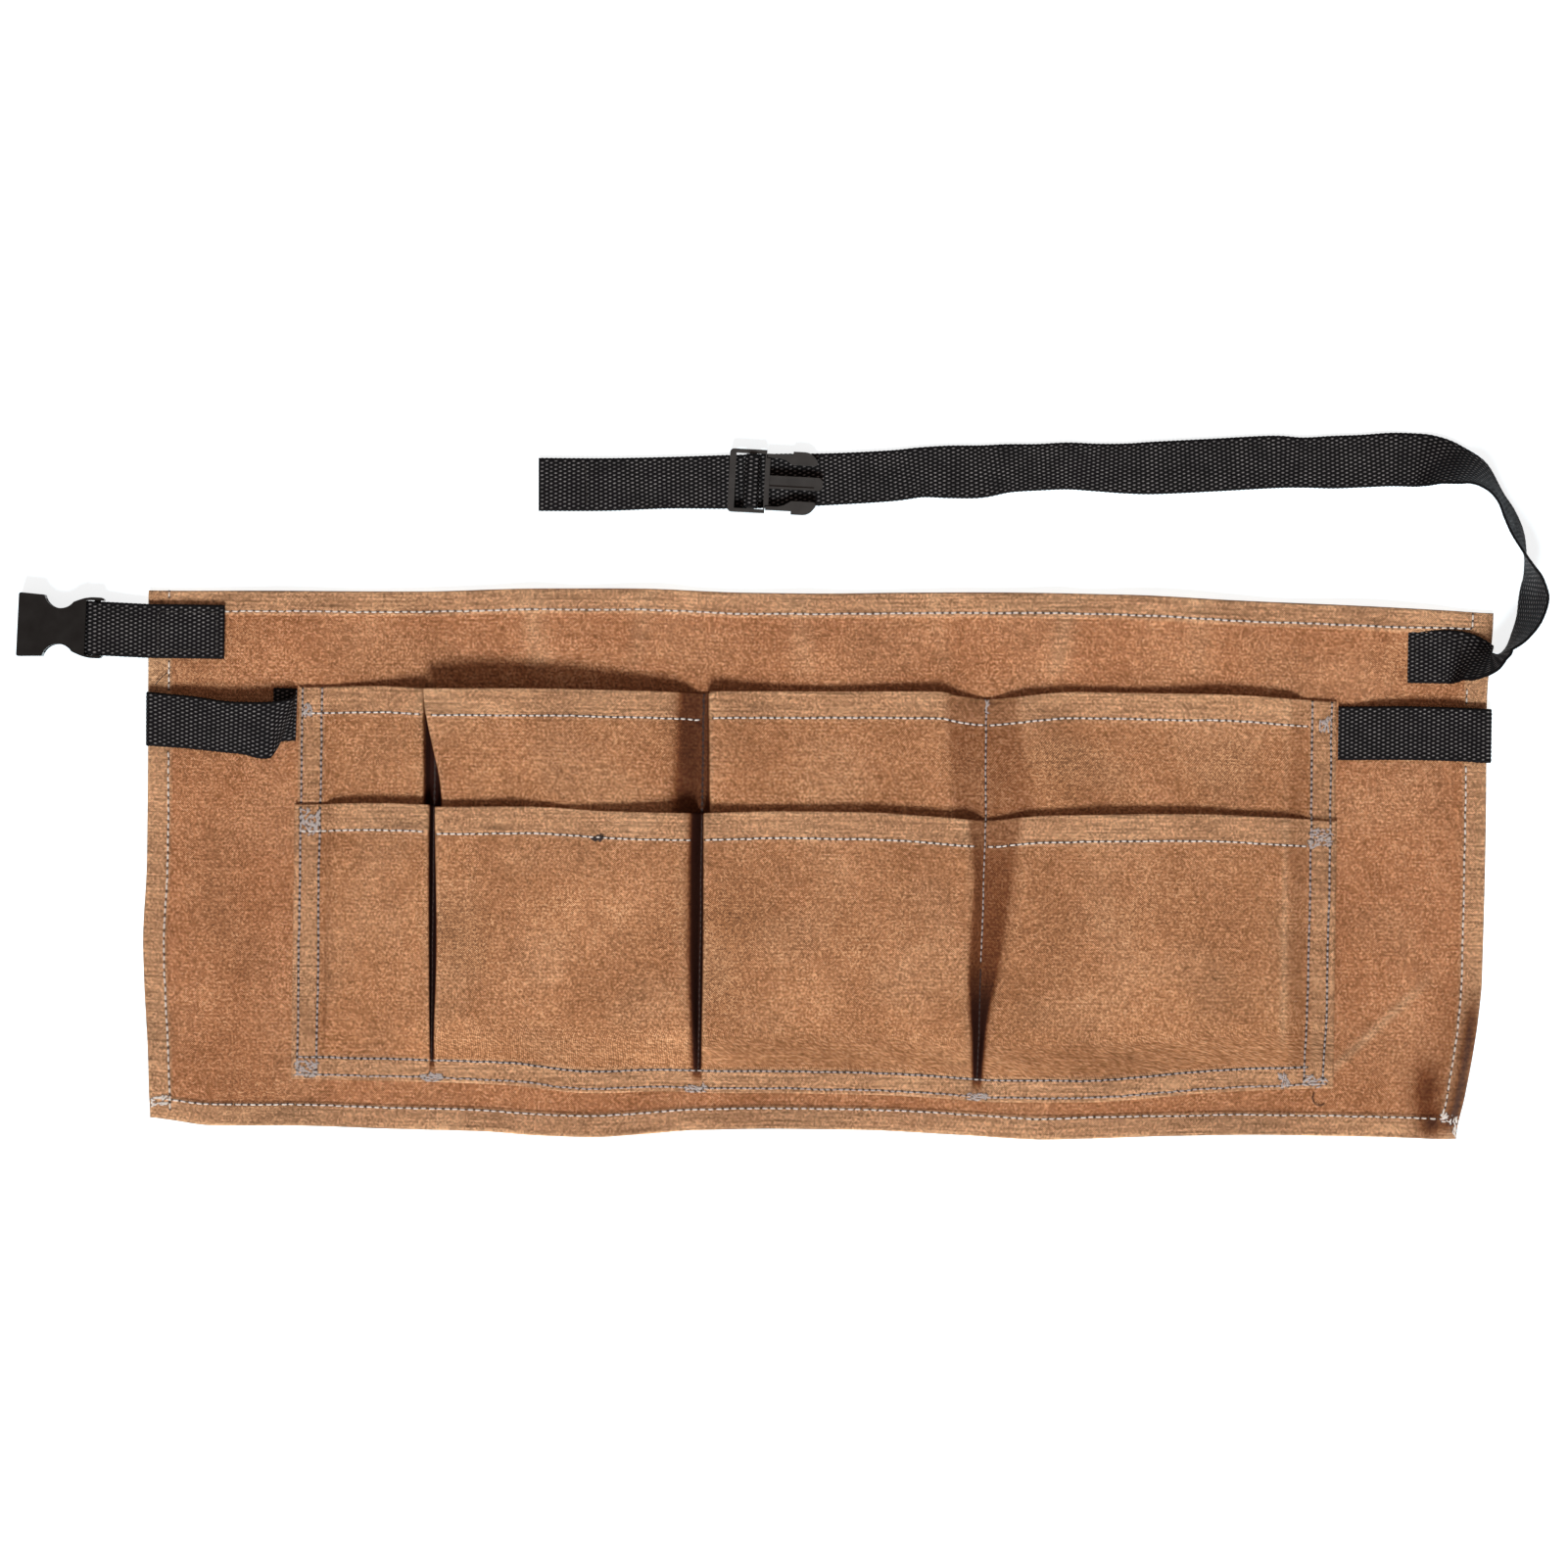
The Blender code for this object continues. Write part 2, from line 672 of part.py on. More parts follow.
def build_buckle_tab():
    """The tab rises a little to the bar, because the buckle is thicker and rests on the same plane."""
    add_tab_sewn_end()
    height = OVER_HEM + TAB_THICKNESS / 2
    bar_height = SOCKET_THICKNESS / 2 + GAP
    pitch = math.asin((bar_height - height) / SOCKET_BAR_REACH)
    fold = add_pivot("tab_fold_axis", (TAB_HINGE_X, TAB_CENTRE_Y, height), pitch=pitch, yaw=TAB_YAW)
    add_tab_loop(fold)
    add_socket(add_pivot("socket_bar_axis", (-SOCKET_BAR_REACH, 0, 0), fold, pitch=-pitch))
    box_row(
        "buckle_tab_box_stitching", (TAB_LEFT_END, TAB_CENTRE_Y), TAB_RIGHT_END,
        OVER_HEM + TAB_THICKNESS + GAP + THREAD_RADIUS,
    )


def box_row(name, left_middle, right, height):
    """Box stitching through a sewn webbing end, started and ended at one corner."""
    margin = 3.5 * MM
    left = left_middle[0] + margin
    right = right - margin
    low = left_middle[1] - WEBBING_WIDTH / 2 + margin
    high = left_middle[1] + WEBBING_WIDTH / 2 - margin
    corners = [(right, low), (right, high), (left, high), (left, low), (right - margin / 2, low)]
    return add_thread(name, [(x, y, height) for x, y in corners], BLACK_THREAD)


# ---------------------------------------------------------------- waist strap

def strap_stations(knots, steps):
    """Ribbon stations from knots of (x, y, roll), resting on the plane the apron lies on."""
    return [((x, y, strap_height(roll)), roll) for x, y, roll in smooth_path(knots, steps)]


def trim_point(start, heading, distance):
    """The point this far from start along a heading."""
    return start[0] + math.cos(heading) * distance, start[1] + math.sin(heading) * distance


def add_strap_sewn_end(profile):
    """The strap's sewn patch and its first twist, up to the upright bend beside the panel."""
    over = OVER_HEM + WEBBING_THICKNESS / 2
    edge = PANEL_LENGTH / 2
    end = trim_point(STRAP_ROOT, STRAP_ROOT_HEADING, -STRAP_HINGE_GAP)
    twist_start = edge - 8 * MM
    flat = [((x, PATCH_CENTRE_Y, over), 0) for x in (PATCH_LEFT, twist_start)]
    twist = []
    steps = 12
    for step in range(1, steps + 1):
        along = step / steps
        x = mix(twist_start, end[0], along)
        y = mix(PATCH_CENTRE_Y, end[1], along ** 2)
        roll = 90 * smooth(along)
        height = over + strap_height(roll) - strap_height(0)
        twist.append(((x, y, max(height, strap_height(roll))), roll))
    return add_ribbon("strap_sewn_end", flat + twist, profile, WEBBING)


def add_strap_turn(profile, pivot):
    start = trim_point(STRAP_ROOT, STRAP_ROOT_HEADING, STRAP_HINGE_GAP)
    end = trim_point(STRAP_BEND, STRAP_BEND_HEADING, -STRAP_HINGE_GAP)
    knots = [
        (*start, 90),
        (324.7 * MM, 111.5 * MM, 75),
        (330.9 * MM, 128.9 * MM, 62),
        (329.8 * MM, 141.1 * MM, 74),
        (327.4 * MM, 147.5 * MM, 88),
        (321.5 * MM, 163.8 * MM, 100),
        (*end, 92),
    ]
    return add_ribbon("strap_turn", strap_stations(knots, 6), profile, WEBBING, pivot)


def add_strap_run(profile, pivot):
    start = trim_point(STRAP_BEND, STRAP_BEND_HEADING, STRAP_HINGE_GAP)
    knots = [
        (*start, 92),
        (304.1 * MM, 184.9 * MM, 115),
        (290.4 * MM, 190.6 * MM, 150),
        (276.7 * MM, 192.6 * MM, 178),
        (*RUN_START, 180),
    ]
    stations = strap_stations(knots, 7)
    stations.append(((*RUN_END, strap_height(180)), 180))
    return add_ribbon("strap_run", stations, profile, WEBBING, pivot)


def run_direction():
    along = Vector(RUN_START) - Vector(RUN_END)
    return along.normalized()


def add_tail_stitching(pivot):
    """The row across the strap's folded tail end."""
    along = run_direction()
    across = Vector((-along.y, along.x))
    middle = Vector(RUN_END) + along * TAIL_HEM
    half = WEBBING_WIDTH / 2 - 2 * MM
    height = GAP + WEBBING_THICKNESS + GAP + THREAD_RADIUS
    ends = [middle + across * half, middle - across * half]
    thread = add_thread("strap_tail_stitching", [(*end, height) for end in ends], BLACK_THREAD)
    thread.data.transform(pivot.matrix_world.inverted())
    thread.parent = pivot
    return thread


# ---------------------------------------------------------------- male buckle

def add_male_frame(carrier):
    """The frame with its two outer bars and centre bar, and the ridged guide prong between the arms."""
    outline = rounded_box_outline(
        (MALE_FRAME_LEFT, -MALE_FRAME_HALF), (MALE_FRAME_RIGHT + 1.7 * MM, MALE_FRAME_HALF), 1.8 * MM
    )
    plate = plate_mesh([outline], MALE_FRAME_THICKNESS)
    frame = add_part("male_buckle_frame", plate, PLASTIC, carrier)
    add_bevel(frame, 0.5 * MM, 2, 60)
    half_bar = MALE_CENTRE_BAR / 2
    deep = MALE_FRAME_THICKNESS
    right_bar = 5.9 * MM
    slots = {
        "male_slot_left": (MALE_FRAME_LEFT + MALE_BAR, -half_bar),
        "male_slot_right": (half_bar, right_bar),
    }
    for name, (low, high) in slots.items():
        near = (low, -MALE_SLOT_HALF, -deep)
        far = (high, MALE_SLOT_HALF, deep)
        add_boolean(frame, box_cutter(name, near, far, carrier), "DIFFERENCE")
    shoulder = 10.9 * MM
    shoulder_end = MALE_FRAME_RIGHT + 4 * MM
    for name, side in (("male_shoulder_upper", 1), ("male_shoulder_lower", -1)):
        near, far = sorted((side * shoulder, side * 20 * MM))
        low = (MALE_FRAME_RIGHT, near, -deep)
        high = (shoulder_end, far, deep)
        add_boolean(frame, box_cutter(name, low, high, carrier), "DIFFERENCE")
    half = MALE_PRONG_WIDTH / 2
    start = right_bar + 1 * MM
    tip = [
        (MALE_PRONG_TIP - 1.6 * MM, -half),
        (MALE_PRONG_TIP, -half + 1.4 * MM),
        (MALE_PRONG_TIP, half - 1.4 * MM),
        (MALE_PRONG_TIP - 1.6 * MM, half),
    ]
    blade_outline = [(start, -half), *tip, (start, half)]
    shapes = [("prong_blade", blade_outline, MALE_PRONG_THICKNESS)]
    ridge_end = MALE_PRONG_TIP - 4 * MM
    for name, side in (("prong_ridge_upper", 1), ("prong_ridge_lower", -1)):
        near, far = sorted((side * half, side * (half - MALE_RIDGE)))
        ridge = [(start, near), (ridge_end, near), (ridge_end, far), (start, far)]
        shapes.append((name, ridge, MALE_PRONG_THICKNESS + 2 * 0.7 * MM))
    for name, shape, thickness in shapes:
        blade = add_helper(name, plate_mesh([shape], thickness), carrier)
        add_boolean(frame, blade, "UNION")
    return frame


def add_webbing_over_bar(carrier):
    """The length of strap that rises through one slot, over the centre bar and down through the other."""
    inside = MALE_CENTRE_BAR / 2 + 0.3 * MM
    outside = inside + WEBBING_THICKNESS
    bar_top = MALE_FRAME_THICKNESS / 2 + 0.3 * MM
    bottom = -MALE_FRAME_THICKNESS / 2
    radius = 1.0 * MM
    outer = arc((outside - radius, bar_top + WEBBING_THICKNESS - radius), radius, 0, 90, 4)
    outer += [(-x, z) for x, z in reversed(outer)]
    inner = [(-inside, bottom), (-inside, bar_top), (inside, bar_top), (inside, bottom)]
    outline = [(outside, bottom), *outer, (-outside, bottom), *inner]
    mesh = side_section_mesh([outline], WEBBING_WIDTH)
    return add_part("webbing_over_bar", mesh, WEBBING, carrier)


def arm_outline():
    """The upper release arm: a thin neck, then a barb with a rounded outer corner."""
    root = MALE_FRAME_RIGHT + 0.3 * MM
    neck_in = 11.3 * MM
    neck_out = 13.1 * MM
    barb_start = 18.7 * MM
    barb_out = 14.6 * MM
    barb_in = 8.4 * MM
    corner = 6.0 * MM
    tip_centre = (28.7 * MM, barb_in + 1.5 * MM)
    inner = [(root, neck_in), (12.5 * MM, neck_in), (15.5 * MM, 10.4 * MM), (barb_start, barb_in)]
    tip = arc(tip_centre, 1.5 * MM, -90, 30, 4)
    outer = arc((24.0 * MM, barb_out - corner), corner, 42, 90, 5)
    return inner + tip + outer + [(barb_start, barb_out), (barb_start, neck_out), (root, neck_out)]


def add_arm(name, side, carrier):
    outline = [(x, side * y) for x, y in arm_outline()]
    root = Vector((MALE_FRAME_RIGHT + 0.3 * MM, side * 12.2 * MM, 0))
    pivot = add_pivot(f"{name}_axis", root, carrier)
    mesh = plate_mesh([outline], ARM_THICKNESS)
    mesh.transform(Matrix.Translation(-root))
    arm = add_part(name, mesh, PLASTIC, pivot)
    add_bevel(arm, 0.4 * MM, 1, 60)
    return arm


def build_male_buckle(parent):
    clear_of_strap = GAP + WEBBING_THICKNESS + GAP
    height = clear_of_strap + MALE_FRAME_THICKNESS / 2
    centre = Vector((*MALE_CENTRE, height))
    carrier = add_pivot("male_buckle_slide", parent.matrix_world.inverted() @ centre, parent, yaw=MALE_YAW)
    add_male_frame(carrier)
    add_webbing_over_bar(carrier)
    add_arm("upper_release_arm", 1, carrier)
    add_arm("lower_release_arm", -1, carrier)


# ---------------------------------------------------------------- assembly

def build_strap(profile):
    root = add_pivot("strap_root_axis", (*STRAP_ROOT, strap_height(90)))
    bend_offset = Vector(STRAP_BEND) - Vector(STRAP_ROOT)
    bend = add_pivot("strap_bend_axis", (*bend_offset, 0), root)
    add_strap_sewn_end(profile)
    add_strap_turn(profile, root)
    add_strap_run(profile, bend)
    add_tail_stitching(bend)
    box_row(
        "strap_end_box_stitching", (PATCH_LEFT, PATCH_CENTRE_Y), PANEL_LENGTH / 2 - 8 * MM,
        OVER_HEM + WEBBING_THICKNESS + GAP + THREAD_RADIUS,
    )
    return bend


def main():
    build_panel()
    panel_hem_rows()
    build_strip("rear_pocket_strip", rear_section, REAR_MOUTH)
    build_strip("front_pocket_strip", front_section, FRONT_MOUTH)
    mouth_rows("rear_mouth_stitching", rear_section, REAR_MOUTH - MOUTH_HEM_REAR)
    mouth_rows("front_mouth_stitching", front_section, FRONT_MOUTH - MOUTH_HEM_FRONT)
    side_and_bottom_rows()
    profile = webbing_profile()
    edge = PANEL_LENGTH / 2
    clear = 0.8 * MM
    add_tool_loop("left_tool_loop", -edge, STRIP_LEFT - clear, LEFT_LOOP_Y, LOOP_RISE_LEFT, profile)
    add_tool_loop("right_tool_loop", STRIP_RIGHT + clear, edge, RIGHT_LOOP_Y, LOOP_RISE_RIGHT, profile)
    build_buckle_tab()
    bend = build_strap(profile)
    build_male_buckle(bend)


main()
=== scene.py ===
"""Looks of a waxed canvas tool belt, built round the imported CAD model.

Shapes are worked out in millimetres in the CAD frame and turned into metres when a mesh is made.
"""

import json
import math

import bpy
import numpy as np
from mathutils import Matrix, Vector
from mathutils.bvhtree import BVHTree


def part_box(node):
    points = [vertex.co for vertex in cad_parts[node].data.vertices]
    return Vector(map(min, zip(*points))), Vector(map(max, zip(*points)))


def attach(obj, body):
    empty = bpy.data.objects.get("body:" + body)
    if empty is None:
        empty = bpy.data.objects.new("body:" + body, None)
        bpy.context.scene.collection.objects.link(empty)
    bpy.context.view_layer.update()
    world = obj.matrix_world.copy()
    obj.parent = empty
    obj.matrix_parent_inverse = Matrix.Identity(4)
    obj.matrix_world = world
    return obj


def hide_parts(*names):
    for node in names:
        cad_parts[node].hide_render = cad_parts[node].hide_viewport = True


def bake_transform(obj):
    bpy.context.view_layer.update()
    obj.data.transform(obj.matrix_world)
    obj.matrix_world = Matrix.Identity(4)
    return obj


MM = 0.001
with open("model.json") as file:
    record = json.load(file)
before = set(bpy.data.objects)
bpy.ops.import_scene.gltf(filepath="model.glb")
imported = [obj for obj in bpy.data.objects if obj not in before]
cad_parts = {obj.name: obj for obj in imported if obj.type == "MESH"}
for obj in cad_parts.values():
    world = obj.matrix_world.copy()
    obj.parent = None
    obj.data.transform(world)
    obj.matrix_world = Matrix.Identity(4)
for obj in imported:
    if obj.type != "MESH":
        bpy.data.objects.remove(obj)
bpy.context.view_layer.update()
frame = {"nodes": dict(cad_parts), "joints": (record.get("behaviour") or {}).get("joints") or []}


def box_mm(node):
    """The lowest and highest corners of a CAD node, in millimetres."""
    low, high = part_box(node)
    return np.array(low) / MM, np.array(high) / MM


# ---------------------------------------------------------------- numbers

WARP_PITCH = 0.52
WEFT_PITCH = 0.45
HEM = 11.0
STITCH_INSET = 9.6
STITCH_PITCH = 3.6
UNDERSIDE = 0.25
FLAT = 1.0
OVER_HEM = 1.9
RIBS = 26
PICK = 2.1
WEBBING_WIDTH = 25.0
WEBBING_THICKNESS = 1.3
WEBBING_STEP = 0.46
ACROSS = 79
REAR_HEM = 12.4
FRONT_HEM = 12.6
# The share of its pitch that a stitch covers, and how far it strays.
STITCH_SHARE = 0.74
STITCH_WANDER = 0.16
# Faces of a stitched row take its thread or the dark of its needle holes, which is painted shadow; stitches
# lying in shade, a dark knot and loose tails take that dark too.
THREAD_FACE = 0
DARK_FACE = 1
# Uneven tone of the cloth: patches as (warps wide, wefts high, amount), noise as (scale, detail, amount).
YARN_TONES = ((1, 1, 0.75), (1.4, 1.5, 0.75), (9, 2, 0.16))
WAX_TONES = ((0.020, 1.5, 0.75), (0.070, 1.0, 0.28))

CANVAS_LIGHT = (0.468, 0.214, 0.095)
CANVAS_PANEL = (0.462, 0.200, 0.089)
# Pale colour of rubbed hems and edges; on folds, creases and pocket lips it is also a painted highlight.
CANVAS_PALE_AND_SHEEN = (0.560, 0.325, 0.178)
# Painted highlight: the pale shine the cloth's colour turns to where its tone runs highest.
CANVAS_SHINE = (0.88, 0.62, 0.38)
# Painted shade: a brown that the cloth is multiplied by in shallow recesses, and a near black for the deepest
# ones.
CANVAS_SHADED = (0.42, 0.31, 0.25)
CANVAS_DEEP_SHADE = (0.030, 0.007, 0.004)
THREAD_PALE = (0.82, 0.78, 0.73)
THREAD_GREY = (0.50, 0.46, 0.45)
THREAD_DARK = (0.02, 0.018, 0.018)
# Thread painted dark where it lies deep in shade.
THREAD_SHADED = (0.045, 0.020, 0.014)
# Painted shadow in the needle holes.
HOLE_SHADE = (0.022, 0.010, 0.008)
WEBBING_DARK = (0.004, 0.004, 0.005)
# Painted shine on the webbing's highest yarn.
WEBBING_SHINE = (0.34, 0.34, 0.35)

# Metres from the table to the camera, metres of table across its view, and its turn in radians.
CAMERA_DISTANCE = 3.0
CAMERA_FIELD = 0.7285
CAMERA_TURN = 0.01396


# ---------------------------------------------------------------- curves and noise

class Curve:
    """A smooth line through (x, value) knots, without overshoot, level beyond its ends."""

    def __init__(self, *knots):
        self.x, self.y = np.array(knots, float).T
        self.step = np.diff(self.x)
        rise = np.diff(self.y) / self.step
        self.slope = np.zeros_like(self.x)
        before, after = rise[:-1], rise[1:]
        total = np.where(before + after == 0, 1, before + after)
        self.slope[1:-1] = np.where(before * after > 0, 2 * before * after / total, 0)

    def __call__(self, x):
        x = np.clip(x, self.x[0], self.x[-1])
        i = np.clip(np.searchsorted(self.x, x) - 1, 0, len(self.step) - 1)
        h = self.step[i]
        t = (x - self.x[i]) / h
        return (
            (1 + 2 * t) * (1 - t) ** 2 * self.y[i]
            + t * (1 - t) ** 2 * h * self.slope[i]
            + t ** 2 * (3 - 2 * t) * self.y[i + 1]
            + t ** 2 * (t - 1) * h * self.slope[i + 1]
        )


def smooth(t):
    t = np.clip(t, 0, 1)
    return t * t * (3 - 2 * t)


def mix(a, b, t):
    return a + (b - a) * t


def bump(x, centre, width):
    return np.exp(-(((x - centre) / width) ** 2))


def ripples(x, y, size, seed, stretch=1.0, count=16):
    """Seeded smooth noise between about -1.5 and 1.5, with features of about this size."""
    random = np.random.default_rng(seed)
    total = np.zeros(np.broadcast(x, y).shape)
    for _ in range(count):
        angle = random.uniform(0, 2 * math.pi)
        rate = 2 * math.pi / size * random.uniform(0.55, 1.5)
        phase = random.uniform(0, 2 * math.pi)
        total += np.cos(rate * (x * math.cos(angle) + y * stretch * math.sin(angle)) + phase)
    return total / math.sqrt(count)


def spaced(low, high, step, band, fine):
    """Positions from low to high, finer within a band of both ends."""
    edge = np.arange(0, band, fine)
    middle = np.linspace(low + band, high - band, int((high - low - 2 * band) / step) + 1)
    return np.concatenate([low + edge, middle, (high - edge)[::-1]])


# ---------------------------------------------------------------- materials

def node(tree, kind, inputs=None, **settings):
    made = tree.nodes.new(kind)
    for key, value in settings.items():
        setattr(made, key, value)
    for key, value in (inputs or {}).items():
        if isinstance(value, bpy.types.NodeSocket):
            tree.links.new(value, made.inputs[key])
        else:
            made.inputs[key].default_value = value
    return made


def maths(tree, operation, a, b=0.0):
    return node(tree, "ShaderNodeMath", {0: a, 1: b}, operation=operation).outputs[0]


def blend_colour(tree, factor, a, b, blend_type="MIX"):
    def colour(value):
        return value if isinstance(value, bpy.types.NodeSocket) else (*value, 1.0)
    made = node(tree, "ShaderNodeMix", {0: factor, 6: colour(a), 7: colour(b)},
                data_type="RGBA", blend_type=blend_type)
    return made.outputs[2]


def attribute(tree, name, output="Fac"):
    return node(tree, "ShaderNodeAttribute", attribute_name=name).outputs[output]


def start_material(name):
    material = bpy.data.materials.new(name)
    material.use_nodes = True
    tree = material.node_tree
    return material, tree, tree.nodes["Principled BSDF"]


def fine_noise(tree, position, scale, detail=2.0):
    """Noise over a vector of lengths, with this many features to the unit."""
    made = node(tree, "ShaderNodeTexNoise", {"Vector": position, "Scale": scale, "Detail": detail})
    return made.outputs["Fac"]


def around_one(tree, value, amount):
    """One plus an amount times a value."""
    return node(tree, "ShaderNodeMath", {0: value, 1: amount, 2: 1.0}, operation="MULTIPLY_ADD").outputs[0]


def scaled(tree, value, amount):
    """One plus an amount times how far a value stands from a half."""
    return around_one(tree, maths(tree, "SUBTRACT", value, 0.5), amount)


def finish_material(material, tree, shader, colour, height, strength, distance, roughness, specular=0.5):
    """Gives a material its colour, fine relief and gloss. Its roughness is a number or a socket."""
    tree.links.new(colour, shader.inputs["Base Color"])
    relief = node(tree, "ShaderNodeBump", {"Strength": strength, "Distance": distance, "Height": height})
    tree.links.new(relief.outputs[0], shader.inputs["Normal"])
    if isinstance(roughness, bpy.types.NodeSocket):
        tree.links.new(roughness, shader.inputs["Roughness"])
    else:
        shader.inputs["Roughness"].default_value = roughness
    shader.inputs["Specular IOR Level"].default_value = specular
    return material


def white_noise(tree, across, along):
    """One random value for each cell of a grid."""
    floors = {0: maths(tree, "FLOOR", across), 1: maths(tree, "FLOOR", along)}
    cell = node(tree, "ShaderNodeCombineXYZ", floors)
    made = node(tree, "ShaderNodeTexWhiteNoise", {"Vector": cell.outputs[0]}, noise_dimensions="2D")
    return made.outputs["Value"]


def yarn_cells(tree, x, y, warps, wefts):
    """Random tone of the cloth in patches this many yarns wide and high."""
    across = maths(tree, "DIVIDE", x, warps * WARP_PITCH)
    along = maths(tree, "DIVIDE", y, wefts * WEFT_PITCH)
    return white_noise(tree, across, along)


def canvas_tone(tree, place, rub_and_sheen):
    """How light the cloth is against its base colour, and its weave's height."""
    x, y, _ = node(tree, "ShaderNodeSeparateXYZ", {0: place}).outputs
    warp = maths(tree, "SINE", maths(tree, "MULTIPLY", x, math.pi / WARP_PITCH))
    weft = maths(tree, "SINE", maths(tree, "MULTIPLY", y, math.pi / WEFT_PITCH))
    weave = maths(tree, "MULTIPLY", warp, weft)
    rib = maths(tree, "SINE", maths(tree, "MULTIPLY", y, math.pi / (2 * WEFT_PITCH)))
    # Painted light and shade of the weave: the tone is raised on the yarn tops and lowered in the hollows and
    # between the weft ribs.
    tone = maths(tree, "MULTIPLY", around_one(tree, weave, 0.45), around_one(tree, rib, 0.07))
    grain = [(yarn_cells(tree, x, y, warps, wefts), amount) for warps, wefts, amount in YARN_TONES]
    grain += [(fine_noise(tree, place, scale, detail), amount) for scale, detail, amount in WAX_TONES]
    for source, amount in grain:
        tone = maths(tree, "MULTIPLY", tone, scaled(tree, source, amount))
    # Rubbed hems show streaks along their folds.
    along = node(tree, "ShaderNodeVectorMath", {0: place, 1: (0.03, 0.9, 0.0)}, operation="MULTIPLY")
    streak = maths(tree, "SUBTRACT", fine_noise(tree, along.outputs[0], 1.0, 1.0), 0.5)
    streak = maths(tree, "MULTIPLY", streak, maths(tree, "MULTIPLY", rub_and_sheen, 1.8))
    return maths(tree, "MULTIPLY", tone, maths(tree, "ADD", streak, 1.0)), weave


def canvas_material(name, base):
    """Waxed duck canvas: plain weave with painted light and shade on its yarn, uneven yarn, blotches of wax,
    pale folds that are partly rubbed wax and partly painted highlight, a painted shine, and painted shade in
    its recesses.
    """
    material, tree, shader = start_material(name)
    rub_and_sheen = attribute(tree, "rub_and_sheen")
    tone, weave = canvas_tone(tree, attribute(tree, "cloth", "Vector"), rub_and_sheen)
    # The cloth turns paler on its rubbed hems and edges, and with painted highlights along folds, creases and
    # the pockets' lips.
    colour = blend_colour(tree, rub_and_sheen, base, CANVAS_PALE_AND_SHEEN)
    grey = node(tree, "ShaderNodeCombineColor", {0: tone, 1: tone, 2: tone}).outputs[0]
    colour = blend_colour(tree, 1.0, colour, grey, "MULTIPLY")
    # Painted highlight: where the tone runs highest the cloth turns toward a pale shine.
    shine = node(tree, "ShaderNodeMapRange", {"Value": tone, "From Min": 1.10, "From Max": 2.6}).outputs[0]
    colour = blend_colour(tree, shine, colour, CANVAS_SHINE)
    # Painted shade in recesses: the shade attribute turns the cloth brown up to 0.6 and near black beyond.
    shade = attribute(tree, "shade")
    brown = blend_colour(tree, 1.0, colour, CANVAS_SHADED, "MULTIPLY")
    half_way = node(tree, "ShaderNodeMapRange", {"Value": shade, "From Max": 0.6}).outputs[0]
    rest = node(tree, "ShaderNodeMapRange", {"Value": shade, "From Min": 0.6}).outputs[0]
    colour = blend_colour(tree, half_way, colour, brown)
    colour = blend_colour(tree, rest, colour, CANVAS_DEEP_SHADE)
    return finish_material(material, tree, shader, colour, weave, 0.8, 0.00025, 0.72, 0.15)


def webbing_material():
    """Black polypropylene webbing, with a dull shine painted into its colour on the yarn that stands highest.
    """
    material, tree, shader = start_material("webbing_yarn")
    place = attribute(tree, "cloth", "Vector")
    lift = attribute(tree, "rub_and_sheen")
    grain = fine_noise(tree, place, 2.2, 2.0)
    patch = fine_noise(tree, place, 0.12, 2.0)
    # Painted highlight: the yarn that stands highest turns toward a pale shine.
    level = maths(tree, "MULTIPLY", maths(tree, "POWER", lift, 1.5), maths(tree, "MULTIPLY", grain, patch))
    colour = blend_colour(tree, maths(tree, "MULTIPLY", level, 3.2), WEBBING_DARK, WEBBING_SHINE)
    return finish_material(material, tree, shader, colour, grain, 0.5, 0.0002, 0.6, 0.08)


def plastic_material(name, worn):
    """Moulded black acetal: smooth, with a faint grain and small scuffs; its second number makes the whole
    moulding a lighter grey.
    """
    material, tree, shader = start_material(name)
    place = node(tree, "ShaderNodeTexCoord").outputs["Object"]
    grain = fine_noise(tree, place, 900.0, 2.0)
    scuff = fine_noise(tree, place, 160.0, 5.0)
    dark = (0.004 + 0.022 * worn,) * 3
    pale = (0.011 + 0.040 * worn,) * 3
    colour = blend_colour(tree, scuff, dark, pale)
    rough = node(tree, "ShaderNodeMapRange", {"Value": scuff, "To Min": 0.26, "To Max": 0.42}).outputs[0]
    return finish_material(material, tree, shader, colour, grain, 0.12, 0.0001, rough, 0.35)


def thread_material(name, base):
    """Twisted sewing thread whose stitches vary a little in cleanness."""
    material, tree, shader = start_material(name)
    place = node(tree, "ShaderNodeTexCoord").outputs["Object"]
    twist = fine_noise(tree, place, 2600.0, 1.0)
    dirt = fine_noise(tree, place, 260.0, 1.0)
    dark = tuple(0.45 * part for part in base)
    colour = blend_colour(tree, maths(tree, "MULTIPLY", twist, dirt), base, dark)
    return finish_material(material, tree, shader, colour, twist, 0.5, 0.0001, 0.6)


PANEL_CANVAS = canvas_material("panel_canvas_cloth", CANVAS_PANEL)
POCKET_CANVAS = canvas_material("pocket_canvas_cloth", CANVAS_LIGHT)
WEBBING = webbing_material()
SOCKET_PLASTIC = plastic_material("moulded_black", 0.0)
# The male buckle's mouldings take a lighter grey copy of the same plastic.
SLIDE_PLASTIC = plastic_material("moulded_black_lighter", 1.0)
PALE_THREAD = thread_material("pale_sewing_thread", THREAD_PALE)
GREY_THREAD = thread_material("grey_sewing_thread", THREAD_GREY)
DARK_THREAD = thread_material("dark_sewing_thread", THREAD_DARK)
SHADED_THREAD = thread_material("shaded_sewing_thread", THREAD_SHADED)
HOLE_SHADE_MATERIAL = thread_material("needle_hole_shade", HOLE_SHADE)


# ---------------------------------------------------------------- meshes

SURFACES = {}


